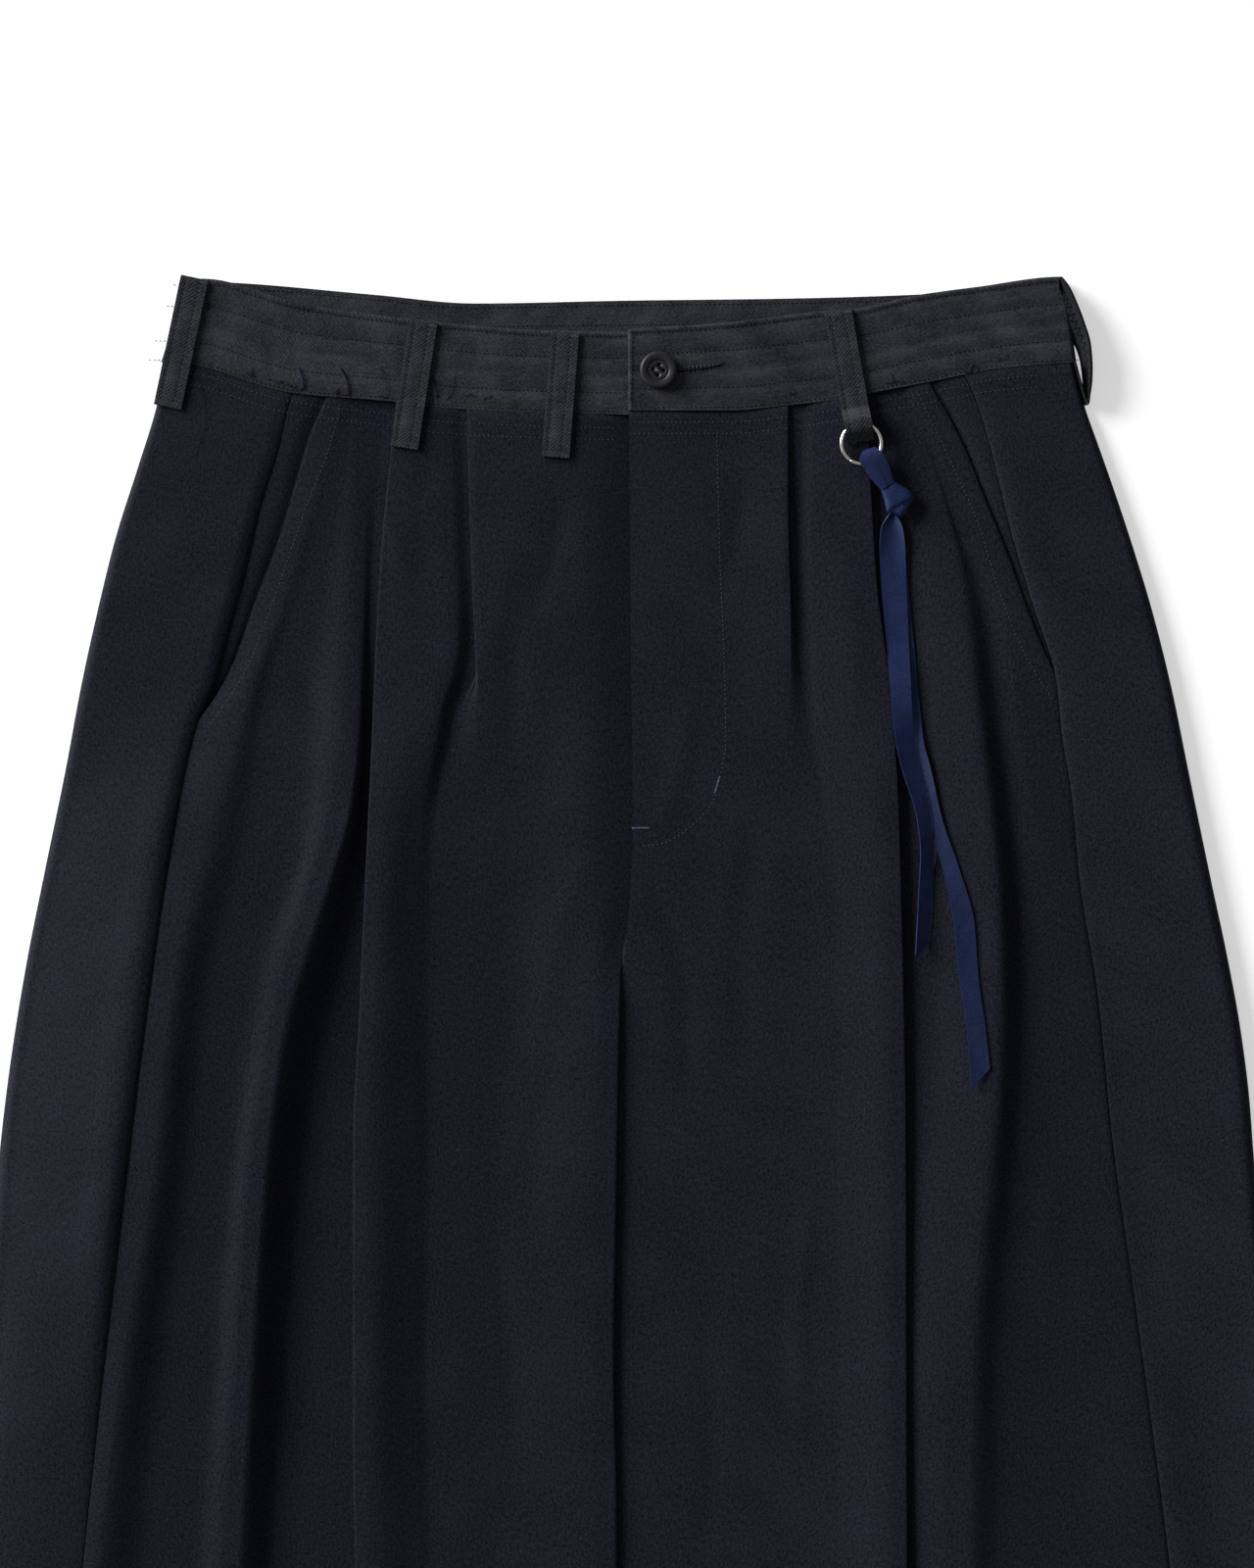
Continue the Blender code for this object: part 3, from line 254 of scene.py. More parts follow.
RIGHT_FOLDS = Folds(
    roll=Line(
        curve(55, 131, 100, 143, 150, 158, 186, 171.5, 203, 176, 253, 190.5, 320, 205.5, 410, 215.5, 499, 229.5,
              571, 238.5, HEM, 282),
        curve(55, 3.4, 124, 4, 150, 4.4, 186, 5.8, 210, 7.4, 253, 11.4, 320, 14.2, 410, 14.7, 499, 14.2, 571, 12.6,
              HEM, 7.4),
    ),
    dip=Line(
        curve(55, 127.5, 100, 137, 150, 151, 186, 163, 210, 167, 253, 172, 320, 190, 410, 200, 499, 212, 571, 219,
              HEM, 262),
        curve(55, 3.1, 124, 3.5, 186, 4.5, 210, 5.7, 253, 8.4, 320, 10.5, 410, 10.5, 499, 9.8, 571, 8.4, HEM, 5),
    ),
    rise=Line(
        curve(55, 125.5, 103, 131, 150, 139, 186, 146, 210, 147, 253, 149, 320, 169, 410, 181, 499, 189, 571, 195,
              HEM, 234),
        curve(55, 2.8, 103, 3.1, 186, 4.1, 210, 5.1, 253, 7.4, 320, 9.4, 410, 9.4, 499, 8.8, 571, 7.6, HEM, 4.6),
    ),
    crest=Line(
        curve(55, 122.5, 102.8, 126, 124, 127.5, 186, 130, 217.7, 132, 253, 137, 275.8, 144, 320, 156.5, 365, 165,
              410, 171.5, 499, 178, 571, 183, HEM, 220),
        curve(55, 2.6, 100, 3.1, 150, 4.2, 186, 5.7, 210, 7, 253, 9.2, 320, 11.3, 410, 11.2, 499, 10.6, 571, 9.4,
              HEM, 5.6),
    ),
    brow=Line(
        curve(55, 117, 100, 119.5, 150, 120.5, 208.7, 122.5, 245, 127, 275.8, 136, 311.6, 147.5, 341.5, 156,
              415.3, 165.7, 515.4, 172.5, 588.7, 177.2, HEM, 212),
        curve(55, 2.3, 100, 2.6, 150, 3.5, 186, 5, 210, 6.4, 253, 9.2, 320, 11.5, 410, 11.3, 499, 10.6, 571, 9.4,
              HEM, 5.5),
    ),
    floor=Line(
        curve(55, 108.5, 79, 111, 113, 114.8, 150, 117, 214.6, 118.6, 245, 120.5, 275.8, 125, 320, 134, 365, 145,
              410, 151, 499, 158, 588.7, 162, HEM, 198),
        curve(55, FIRST_LAYER + 0.1, HEM, FIRST_LAYER + 0.2),
    ),
    outer_pleat=Pleat(
        curve(55, 105, 79, 107.3, 113, 110.9, 150.6, 113.5, 214.6, 116.2, 274.5, 118.9, 335.7, 121.6, 395.6, 124.3,
              535, 124.3, 588.7, 123.4, HEM, 128),
        curve(55, 4.8, 150, 5.4, 186, 6.2, 214, 7.4, 253, 9.4, 320, 11.2, 410, 12.2, 499, 12.2, 571, 11.4, HEM, 7),
        curve(55, 14, 200, 13, 365, 11, HEM, 9),
        NEVER,
    ),
    valley=Line(
        curve(55, 74.6, 124, 72.2, 165, 70.9, 180, 73, 195, 78, 214.6, 81.5, 253, 88, 320, 90, 410, 90, 499, 91,
              571, 89, HEM, 95),
        curve(55, 3.4, 150, 3.2, 172, 2.8, 190, 2.7, 214, 3.6, 253, 5.2, 320, 6.7, 410, 7.4, 499, 7.2, 571, 7, HEM, 5),
    ),
    inner_pleat=Pleat(
        curve(55, 72.9, 120.7, 71.1, 172, 68.8, 189, 67.5, 253, 70, 320, 72, 410, 73, 499, 76, 571, 78, HEM, 80),
        curve(62, 4.8, 150, 5.1, 170, 4.8, 190, 4.3, 215, 4.1, 253, 4.3, 320, 5.4, 410, 6.5, 499, 6.7, 571, 6.7,
              HEM, 4.6),
        curve(62, 10, 130, 8, 158, 4, 182, 0.8, HEM, 0.8),
        curve(172, 0, 200, 1, HEM, 1),
    ),
    broad=Line(
        curve(63, 38, 137.7, 36, 186, 38, 206, 38.5, 253, 40, 320, 50, 410, 57, 589, 55, HEM, 56),
        curve(63, 5, 137, 4.9, 186, 4.1, 206, 3.6, 253, 3.5, 320, 4.4, 410, 5.6, 589, 6, HEM, 4.4),
    ),
    shoulder=Line(
        curve(63, 18, 124, 21, 186, 19, 253, 17.5, 320, 14, 410, 16, 589, 16, HEM, 22),
        curve(63, 4.6, 124, 4.9, 186, 4.3, 253, 4.1, 290, 4.7, 330, 6.3, 410, 6.9, 499, 6.6, 571, 6.6, HEM, 5.8),
    ),
    centre=Line(
        curve(63, -5.5, 285, -5.5, 300, -4.5, 325, 3.6, 1000, 3.6),
        curve(63, FIRST_LAYER + 0.05, 140, FIRST_LAYER + 0.05, HEM, FIRST_LAYER + 0.3),
    ),
    inner_leg=curve(290, 3.2, 313, 3.8, 343, 4.7, 410, 6, 499, 7.2, 565, 6, 700, 6.5, HEM, 14),
    turned_down=curve(278, 0, 345, 1, HEM, 1),
    shelf=curve(55, 0.4, 124, 1.1, 172, 2.2, 195, 2.4, 253, 0.3, 300, 0, HEM, 0),
)

LEFT_FOLDS = Folds(
    roll=Line(
        curve(50, 131, 100, 154, 124, 164, 159.6, 175, 208.7, 180, 253.4, 187, 320, 195, 410, 203, 499, 205,
              588.7, 212, HEM, 262),
        curve(48, 3.4, 120, 3.4, 159, 3.4, 208, 3.2, 253, 3.2, 320, 2.9, 410, 2.7, 499, 2.7, 589, 2.7, HEM, 2.6),
    ),
    dip=Line(
        curve(50, 127.5, 106, 148, 154.2, 164, 199.8, 169.5, 253.4, 176.5, 298, 179.5, 342.8, 181, 410, 178, 499, 171,
              571, 170, HEM, 204),
        curve(48, 3, 106, 3, 154, 2.6, 200, 2.4, 300, 2.7, 350, 3.3, 410, 4.2, 499, 4.6, 589, 4.4, HEM, 3.4),
    ),
    rise=Line(
        curve(50, 125.5, 92, 141.5, 135.9, 152.5, 186, 158.5, 227, 163.5, 253, 166.5, 285, 169.5, 320, 170.5, 365, 169,
              410, 165, 455, 160, 499, 157.5, 589, 156, HEM, 186),
        curve(48, 2.6, 92, 3.3, 154, 5, 200, 6.6, 253, 7.8, 320, 8.7, 410, 8.5, 499, 8.1, 589, 7.3, HEM, 4.6),
    ),
    crest=Line(
        curve(50, 122.5, 123.8, 138.5, 186.4, 145, 253.4, 151, 320, 156, 410, 153, 499, 147.5, 588.7, 146, HEM, 164),
        curve(48, 2.5, 92, 3, 154, 4.4, 200, 5.6, 253, 6.5, 320, 7, 410, 7.6, 499, 7.9, 589, 7.2, HEM, 4.8),
    ),
    brow=Line(
        curve(50, 117.5, 186, 131.5, 276, 138, 343, 140.5, 410, 138.5, 589, 137, HEM, 148),
        curve(48, 2.4, 150, 2.9, 200, 3.6, 275, 4.2, 345, 4.9, 410, 6.1, 499, 7.2, 589, 6.4, HEM, 4.4),
    ),
    floor=Line(
        curve(50, 112.5, 186, 123.6, 276, 130.4, 343, 132.4, 589, 131.5, HEM, 140),
        curve(48, FIRST_LAYER + 0.1, 170, 2.6, 230, 3.3, 300, 4, 410, 5.2, 499, 6.3, 589, 5.4, HEM, 3.6),
    ),
    outer_pleat=Pleat(
        curve(50, 109, 141.7, 114, 172, 118, 218, 122.5, 245.4, 123.8, 275.8, 124.7, 395.6, 126.9, 588.7, 127.4,
              HEM, 132),
        curve(48, 4.8, 150, 5.4, 218, 6.5, 253, 7, 300, 7.5, 410, 8, 589, 8.3, HEM, 6),
        curve(50, 12, HEM, 10),
        NEVER,
    ),
    valley=Line(
        curve(50, 80, 117.6, 78, 190, 82, 236, 88, 300, 95, 589, 96, HEM, 98),
        curve(50, 3.4, 130, 3.2, 160, 3.2, 190, 3.8, 260, 4.7, 330, 5, 589, 5.2, HEM, 4.2),
    ),
    inner_pleat=Pleat(
        curve(50, 73.3, 99, 73.3, 163, 74.6, 236, 73, 300, 71, 589, 70, HEM, 72),
        curve(60, 5, 124, 6, 163, 5.8, 200, 4.8, 236, 4.4, 320, 4.2, 589, 4.2, HEM, 3.8),
        curve(60, 10, 110, 8, 150, 2.4, 185, 1.2, HEM, 1.2),
        curve(135, 0, 195, 1, HEM, 1),
    ),
    broad=Line(
        curve(60, 52, 236, 46, 320, 40, 589, 38, HEM, 42),
        curve(60, 4.9, 95, 4.6, 150, 4.7, 200, 4.5, 236, 4.4, 320, 4.2, 589, 4, HEM, 3.6),
    ),
    shoulder=Line(
        curve(60, 20, 300, 16, HEM, 18),
        curve(60, 5.7, 95, 4.7, 200, 4.7, 253, 4.9, 300, 4.7, 340, 4.2, 589, 4.1, HEM, 3.3),
    ),
    centre=Line(
        curve(60.8, 0.9, 170.8, 1.8, 251, 2.7, 285, 1.2, 310, -1.6, 1000, -1.6),
        curve(60.8, 5.8, 95, 4.6, 140, 4.6, 240, 5, 290, 4.8, 320, 4.2, HEM, 4),
    ),
    inner_leg=curve(290, -1, 313, -2.2, 343, -3.1, 410, -4.4, 499, -5.6, 565, -4.2, 700, -2, HEM, 4),
    turned_down=curve(298, 0, 345, 1, HEM, 1),
    shelf=curve(55, 0.5, 124, 0.8, 186, 0.5, 253, 0, HEM, 0),
)


def along_row(pieces: Iterable[tuple[float, float, float]]) -> list[float]:
    """Distances down for the rows of a panel.

    Args:
        pieces: (start, end, spacing) for each stretch of rows, one after another.

    Returns:
        The rows, ending at the last stretch's end.
    """
    rows = []
    last = 0.0
    for start, end, spacing in pieces:
        rows += steps(start, end, round((end - start) / spacing))
        last = end
    return [*rows, last]


PANEL_ROWS = along_row(((WAIST_DOWN, 300, 3.5), (300, 440, 5.0), (440, HEM, 8.0)))
TUCK = 2.6
TUCK_HEIGHT = 1.7


def tucked(rows: list[list[Vector]]) -> list[list[Vector]]:
    """Adds the seam allowance that reaches in under the waistband."""
    made = []
    for share in (1.0, 0.5):
        row = []
        for point in rows[0]:
            low = min(point.z, mix(point.z, TUCK_HEIGHT * MM, share))
            row.append(Vector((point.x, point.y + TUCK * share * MM, low)))
        made.append(row)
    return made + rows


def wave(points: Sequence[Pair], counts: Sequence[int]) -> list[Pair]:
    """Points of a smooth wave through (out, height) points whose out falls from first to last.

    Args:
        points: the wave's own points.
        counts: how many steps to take between each two.

    Returns:
        The wave's points, from the first to the last.
    """
    smooth = Curve(*[(-out, height) for out, height in points])
    made = [points[0]]
    for (start, _), (end, _), count in zip(points, points[1:], counts):
        for step in range(1, count + 1):
            out = mix(start, end, step / count)
            made.append((out, smooth(-out)))
    return made


def half_turn(out: float, start: float, end: float, bulge: float, count: int) -> list[Pair]:
    """Points round a fold from one height to another.

    Args:
        out: where both ends of the turn lie.
        start: height of the first end.
        end: height of the last end.
        bulge: how far the fold reaches past its ends, with its sign.
        count: number of steps.

    Returns:
        The points as (out, height).
    """
    middle = (start + end) / 2
    half = (end - start) / 2
    turn = [math.pi * step / count for step in range(count + 1)]
    return [(out + bulge * math.sin(angle), middle - half * math.cos(angle)) for angle in turn]


@dataclass(frozen=True)
class Crease:
    """A soft ridge, or a trough where its rise is below 0, drawn on a panel."""

    path: tuple[Pair, ...]
    width: float
    rise: float

    def lift(self, out: float, down: float) -> float:
        """How far the crease lifts the cloth at a place, fading across it and towards its ends."""
        best = 1e9
        share = 0.0
        total = len(self.path) - 1
        for index, (a, b) in enumerate(zip(self.path, self.path[1:])):
            run = (b[0] - a[0], b[1] - a[1])
            length = run[0] ** 2 + run[1] ** 2
            t = clamp(((out - a[0]) * run[0] + (down - a[1]) * run[1]) / length)
            gap = math.hypot(out - a[0] - run[0] * t, down - a[1] - run[1] * t)
            if gap < best:
                best = gap
                share = (index + t) / total
        if best > 3 * self.width:
            return 0.0
        fade = ease(min(share, 1 - share) / 0.3)
        return self.rise * fade * bell(best, 0, self.width)


def crease(width: float, rise: float, *numbers: float) -> Crease:
    """A crease of a width and a rise along places whose out and down are given in turn."""
    return Crease(tuple(zip(numbers[::2], numbers[1::2])), width, rise)


FRONT_CREASES = {
    RIGHT: (
        crease(5, -0.4, 28, 92, 34, 130, 47, 162),
        crease(6, 0.35, 50, 116, 58, 148, 63, 188),
        crease(4, -0.35, 88, 68, 94, 108, 91, 152),
        crease(6, -0.5, 53, 150, 51, 188, 54, 224),
        crease(4.5, -0.4, 152, 172, 141, 198, 127, 213),
        crease(4, 0.3, 112, 96, 104, 128, 101, 170),
        crease(5.5, 0.35, 16, 258, 33, 300, 41, 356),
        crease(5, -0.32, 26, 330, 43, 396, 38, 474),
        crease(6, 0.32, 106, 300, 99, 352, 97, 436),
        crease(4.5, -0.3, 62, 428, 52, 498, 50, 566),
        crease(7, 0.55, 118, 640, 133, 722, 148, 828),
        crease(7, -0.5, 58, 696, 66, 800, 71, 912),
        crease(6, 0.45, 198, 764, 214, 852, 232, 956),
    ),
    LEFT: (
        crease(4.5, -0.35, 54, 88, 50, 120, 40, 158),
        crease(5, 0.35, 30, 186, 24, 222, 12, 262),
        crease(5, -0.38, 8, 268, 26, 318, 30, 386),
        crease(5.5, 0.34, 96, 118, 103, 166, 101, 226),
        crease(4, -0.34, 140, 80, 134, 112, 121, 140),
        crease(6, -0.34, 60, 236, 52, 300, 54, 372),
        crease(5, 0.3, 86, 402, 78, 470, 80, 548),
        crease(5.5, -0.32, 34, 452, 40, 520, 36, 596),
        crease(4.5, 0.36, 196, 398, 192, 442, 194, 486),
        crease(7, -0.55, 110, 652, 121, 740, 126, 846),
        crease(6.5, 0.5, 52, 712, 60, 806, 58, 902),
        crease(7, -0.45, 206, 700, 219, 796, 238, 918),
    ),
}
BACK_CREASES = {
    RIGHT: (
        crease(7, 0.45, 34, 70, 48, 128, 80, 196),
        crease(6, 0.38, 102, 84, 94, 150, 108, 214),
        crease(8, 0.48, 14, 236, 52, 292, 112, 330),
        crease(7, 0.4, 60, 352, 128, 378, 196, 384),
        crease(8, 0.44, 150, 440, 138, 548, 158, 664),
        crease(7, 0.38, 74, 520, 84, 640, 80, 770),
        crease(8, 0.46, 204, 720, 222, 830, 246, 958),
    ),
    LEFT: (
        crease(7, 0.42, 26, 82, 54, 140, 66, 214),
        crease(6.5, 0.4, 118, 74, 106, 136, 114, 186),
        crease(8, 0.46, 20, 250, 70, 300, 140, 316),
        crease(7, 0.44, 88, 372, 156, 392, 214, 430),
        crease(8, 0.4, 122, 468, 132, 586, 120, 708),
        crease(7, 0.42, 192, 560, 206, 668, 204, 792),
        crease(8, 0.38, 66, 742, 78, 846, 70, 968),
    ),
}


def put(name: str, data: bpy.types.ID) -> Object:
    """Makes an object of a mesh, a light or a camera and sets it in the scene."""
    made = bpy.data.objects.new(name, data)
    bpy.context.scene.collection.objects.link(made)
    return made


def skin(
    name: str, points: Sequence[Vector], faces: Sequence[tuple[int, ...]], finish: Material
) -> Object:
    """Makes a smooth mesh object, with its faces pointing out and its open edges crisp."""
    mesh = bpy.data.meshes.new(name)
    mesh.from_pydata(points, [], faces)
    shape = bmesh.new()
    shape.from_mesh(mesh)
    bmesh.ops.recalc_face_normals(shape, faces=shape.faces)
    for edge in shape.edges:
        edge.smooth = not edge.is_boundary
    shape.to_mesh(mesh)
    shape.free()
    mesh.shade_smooth()
    mesh.materials.append(finish)
    return put(name, mesh)


def map_cloth(made: Object, places: Sequence[Pair]) -> None:
    """Gives an object its map named cloth, from each point's place on the cloth in metres."""
    layer = made.data.uv_layers.new(name="cloth")
    for loop in made.data.loops:
        layer.uv[loop.index].vector = places[loop.vertex_index]


def dress(made: Object, body: str = BODY) -> Object:
    """Lets a piece ride on a body."""
    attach(made, body)
    return made


@dataclass
class Mesher:
    """Gathers points and faces for one mesh object."""

    points: list[Vector] = field(default_factory=list)
    faces: list[tuple[int, ...]] = field(default_factory=list)

    def ring(self, points: Iterable[Vector]) -> list[int]:
        """Adds points and gives their numbers."""
        first = len(self.points)
        self.points.extend(points)
        return list(range(first, len(self.points)))

    def tube(self, rings: Sequence[Sequence[Vector]]) -> None:
        """Adds a closed tube through rings of points, with capped ends."""
        numbers = [self.ring(points) for points in rings]
        for before, after in zip(numbers, numbers[1:]):
            for a, b, c, d in zip(before, before[1:] + before[:1], after[1:] + after[:1], after):
                self.faces.append((a, b, c, d))
        self.faces.append(tuple(reversed(numbers[0])))
        self.faces.append(tuple(numbers[-1]))

    def thread(self, path: Sequence[Vector], radii: Sequence[float], sides: int) -> None:
        """Adds a round thread along a path.

        Args:
            path: the thread's middle line, in metres.
            radii: its radius at each point of the path, in metres.
            sides: how many sides it has.
        """
        rings = []
        for index, (point, radius) in enumerate(zip(path, radii)):
            along = path[min(index + 1, len(path) - 1)] - path[max(index - 1, 0)]
            across = along.cross(Vector((0.0, 0.0, 1.0)))
            if across.length < 1e-9:
                across = Vector((1.0, 0.0, 0.0))
            across.normalize()
            above = across.cross(along).normalized()
            rings.append([point + (across * math.cos(t) + above * math.sin(t)) * radius for t in around(sides)])
        self.tube(rings)

    def build(self, name: str, finish: Material) -> Object:
        """Makes the object."""
        return skin(name, self.points, self.faces, finish)


class Held(Enum):
    """How a piece of cloth is held in the flat pose."""

    LAID = "laid"
    FOLDED = "folded"


@dataclass
class Sheet:
    """A cloth piece: a grid of points that is given its thickness, with its own coordinates for the weave."""

    node: str
    rows: list[list[Vector]]
    wall: float = CLOTH

    def build(self, finish: Material) -> Object:
        """Makes the piece, with a map named cloth in metres of cloth and a Solidify modifier for its wall."""
        wide = len(self.rows[0])
        faces = []
        for upper in range(len(self.rows) - 1):
            for column in range(wide - 1):
                a = upper * wide + column
                faces.append((a, a + wide, a + wide + 1, a + 1))
        made = skin(f"{self.node}_cloth", [point for row in self.rows for point in row], faces, finish)
        map_cloth(made, self.flat_places())
        solidify = made.modifiers.new("wall", "SOLIDIFY")
        solidify.thickness = self.wall * MM
        solidify.offset = 0
        return made

    def state(
        self, made: Object, slot: str, held: Held, rests_on: Sequence[str],
        tied: Sequence[Object] = (), cut: Triple | None = None,
    ) -> Object:
        """Lets the made piece stand for its node and states its flat cut.

        Args:
            made: the piece.
            slot: not used.
            held: not used.
            rests_on: not used.
            tied: not used.
            cut: its width, length and area, where they aren't what cut() measures.

        Returns:
            The piece.
        """
        wide, long, area = cut or self.cut()
        dress(made)
        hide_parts(self.node)
        area = min(area, wide * long)
        LOG.info("%s: %.0f x %.0f mm, %.3f m2", made.name, wide / MM, long / MM, area)
        return made

    def flat_places(self) -> list[Pair]:
        """Each point's place on the uncut cloth, in metres."""
        places = []
        middle = len(self.rows[0]) // 2
        along = 0.0
        for index, row in enumerate(self.rows):
            if index:
                along += (row[middle] - self.rows[index - 1][middle]).length
            across = 0.0
            for column, point in enumerate(row):
                if column:
                    across += (point - row[column - 1]).length
                places.append((across, along))
        return places

    def cut(self) -> tuple[float, float, float]:
        """The flat cut: its greatest width, its length and its area, in metres and square metres."""
        widths = []
        lengths = [0.0] * len(self.rows[0])
        for row in self.rows:
            widths.append(sum((b - a).length for a, b in zip(row, row[1:])))
        for upper, lower in zip(self.rows, self.rows[1:]):
            for column, (a, b) in enumerate(zip(upper, lower)):
                lengths[column] += (b - a).length
        steps = [a + b for a, b in zip(widths, widths[1:])]
        length = max(lengths)
        area = sum(step / 2 for step in steps) * length / len(steps)
        if len(self.rows) > 20:
            middle = len(self.rows[0]) // 2
            area = 0.0
            for upper, lower, both in zip(self.rows, self.rows[1:], steps):
                area += both / 2 * (lower[middle] - upper[middle]).length
        return max(widths), length, area


class Cover:
    """The made cloth seen from above, on which sewing and trim are set down."""

    ABOVE = 0.1

    def __init__(self, objects: Iterable[Object]) -> None:
        """Reads the finished meshes.

        Args:
            objects: the pieces that trim may lie on.
        """
        graph = bpy.context.evaluated_depsgraph_get()
        self.trees = [BVHTree.FromObject(item, graph) for item in objects]

    def height(self, x: float, y: float) -> float:
        """Height in metres of the highest cloth over a place in metres, or 0 beside it."""
        hits = [tree.ray_cast(Vector((x, y, self.ABOVE)), Vector((0.0, 0.0, -1.0)))[0] for tree in self.trees]
        return max([point.z for point in hits if point is not None], default=0.0)

    def on(self, x: float, down: float, lift: float = 0.0) -> Vector:
        """The point over a place that is a lift in millimetres off the highest cloth."""
        spot = place(x, down, 0)
        spot.z = self.height(spot.x, spot.y) + lift * MM
        return spot


class Shader:
    """Builds the nodes of one material round its Principled shader."""

    def __init__(self, name: str) -> None:
        """Starts a material of that name."""
        self.material = bpy.data.materials.new(name)
        self.material.use_nodes = True
        self.tree = self.material.node_tree
        self.surface = self.tree.nodes["Principled BSDF"]

    def set(self, **sockets: float | tuple) -> None:
        """Sets the shader's own sockets, named in lower case with underscores."""
        names = {socket.name.lower().replace(" ", "_"): socket for socket in self.surface.inputs}
        for name, value in sockets.items():
            names[name].default_value = value

    def node(self, kind: str, **values: object) -> bpy.types.Node:
        """Adds a node; values that name one of its sockets set it or link into it, others set a property."""
        made = self.tree.nodes.new(kind)
        for name, value in values.items():
            sockets = [s for s in made.inputs if s.name.lower().replace(" ", "_") == name and s.enabled]
            if sockets:
                self.feed(sockets[0], value)
            else:
                setattr(made, name, value)
        return made

    def feed(self, socket: Socket, value: object) -> None:
        """Links an output into a socket, or sets the socket's value."""
        if isinstance(value, Socket):
            self.tree.links.new(value, socket)
        else:
            socket.default_value = value

    def cloth_place(self) -> Socket:
        """Where a point lies on its piece of cloth, in metres."""
        return self.node("ShaderNodeUVMap", uv_map="cloth").outputs["UV"]

    def math(self, operation: str, a: object, b: object = 0.0) -> Socket:
        """The result of a sum on two numbers."""
        made = self.tree.nodes.new("ShaderNodeMath")
        made.operation = operation
        self.feed(made.inputs[0], a)
        self.feed(made.inputs[1], b)
        return made.outputs[0]

    def total(self, *parts: tuple[Socket, float]) -> Socket:
        """The sum of some values, each times its weight."""
        whole, *others = [self.math("MULTIPLY", value, weight) for value, weight in parts]
        for part in others:
            whole = self.math("ADD", whole, part)
        return whole

    def noise(self, place: Socket, scale: float, detail: float = 3.0) -> Socket:
        """Soft noise at a number of blotches a metre."""
        return self.node("ShaderNodeTexNoise", vector=place, scale=scale, detail=detail).outputs["Fac"]

    def turned(self, place: Socket, turn: float) -> Socket:
        """A place turned about Z by degrees."""
        return self.node("ShaderNodeMapping", vector=place, rotation=(0.0, 0.0, math.radians(turn))).outputs[0]

    def stretched(self, place: Socket, turn: float, scale: Triple) -> Socket:
        """A place turned about Z by degrees and then stretched."""
        return self.node("ShaderNodeMapping", vector=self.turned(place, turn), scale=scale).outputs[0]

    def ribs(self, place: Socket, turn: float, pitch: float, wobble: float) -> Socket:
        """Fine parallel ribs, from 0 to 1.

        Args:
            place: where the point lies.
            turn: how far the ribs are turned from running up the cloth, in degrees.
            pitch: distance from rib to rib, in metres.
            wobble: how unevenly they run, where 0 is dead straight.

        Returns:
            The ribs' height.
        """
        wave_length = 20.0
        bands = self.node(
            "ShaderNodeTexWave", vector=self.turned(place, turn), scale=2 * math.pi / pitch / wave_length,
            distortion=wobble, detail=2.0, detail_scale=3.0,
        )
        return bands.outputs["Fac"]

    def blend(self, share: object, first: Triple, second: Triple) -> Socket:
        """A colour between two."""
        made = self.tree.nodes.new("ShaderNodeMix")
        made.data_type = "RGBA"
        self.feed(made.inputs["Factor"], share)
        colours = [socket for socket in made.inputs if socket.type == "RGBA"]
        self.feed(colours[0], (*first, 1.0))
        self.feed(colours[1], (*second, 1.0))
        return next(socket for socket in made.outputs if socket.type == "RGBA")

    def span(self, value: Socket, low: float, high: float) -> Socket:
        """A number from 0 to 1 spread over a range."""
        return self.node("ShaderNodeMapRange", value=value, to_min=low, to_max=high).outputs[0]

    def part_way(self, value: Socket, low: float, high: float) -> Socket:
        """How far a number lies between two others, from 0 to 1."""
        return self.node("ShaderNodeMapRange", value=value, from_min=low, from_max=high).outputs[0]

    def bump(self, height: Socket, depth: float, before: object = None) -> Socket:
        """A bumped normal, of a depth in metres, on top of an earlier one."""
        made = self.node("ShaderNodeBump", height=height, strength=1.0, distance=depth)
        if before is not None:
            self.feed(made.inputs["Normal"], before)
        return made.outputs["Normal"]

    def finish(self, colour: object = None, roughness: object = None, normal: object = None) -> Material:
        """Joins the nodes to the shader and gives the material."""
        for name, value in (("Base Color", colour), ("Roughness", roughness), ("Normal", normal)):
            if value is not None:
                self.feed(self.surface.inputs[name], value)
        return self.material


@dataclass(frozen=True)
class Gabardine:
    """Navy wool gabardine with a steep, very fine twill."""

    name: str = "navy_gabardine"
    dark: Triple = (0.0019, 0.0021, 0.0034)
    light: Triple = (0.0142, 0.0157, 0.0247)
    twill_pitch: float = 0.00078
    twill_turn: float = 28.0
    sheen: Triple = (0.50, 0.60, 0.80)

    def make(self) -> Material:
        """The finish as a material."""
        shader = Shader(self.name)
        shader.set(
            specular_ior_level=0.06, sheen_weight=0.012, sheen_roughness=0.35, sheen_tint=(*self.sheen, 1.0)
        )
        cloth = shader.cloth_place()
        twill = shader.ribs(cloth, self.twill_turn, self.twill_pitch, 1.2)
        yarn = shader.noise(shader.stretched(cloth, self.twill_turn, (1150.0, 420.0, 1.0)), 1.0, 2.0)
        fleck = shader.noise(cloth, 980.0, 2.0)
        drift = shader.noise(cloth, 28.0, 3.0)
        tone = shader.total((twill, 0.05), (yarn, 0.75), (fleck, 0.85), (drift, 0.20))
        colour = shader.blend(shader.part_way(tone, 0.66, 1.19), self.dark, self.light)
        weave = shader.math("ADD", shader.math("MULTIPLY", twill, 0.2), yarn)
        normal = shader.bump(weave, 0.00005)
        normal = shader.bump(shader.noise(cloth, 90.0, 4.0), 0.00012, normal)
        return shader.finish(colour, shader.span(yarn, 0.62, 0.80), normal)


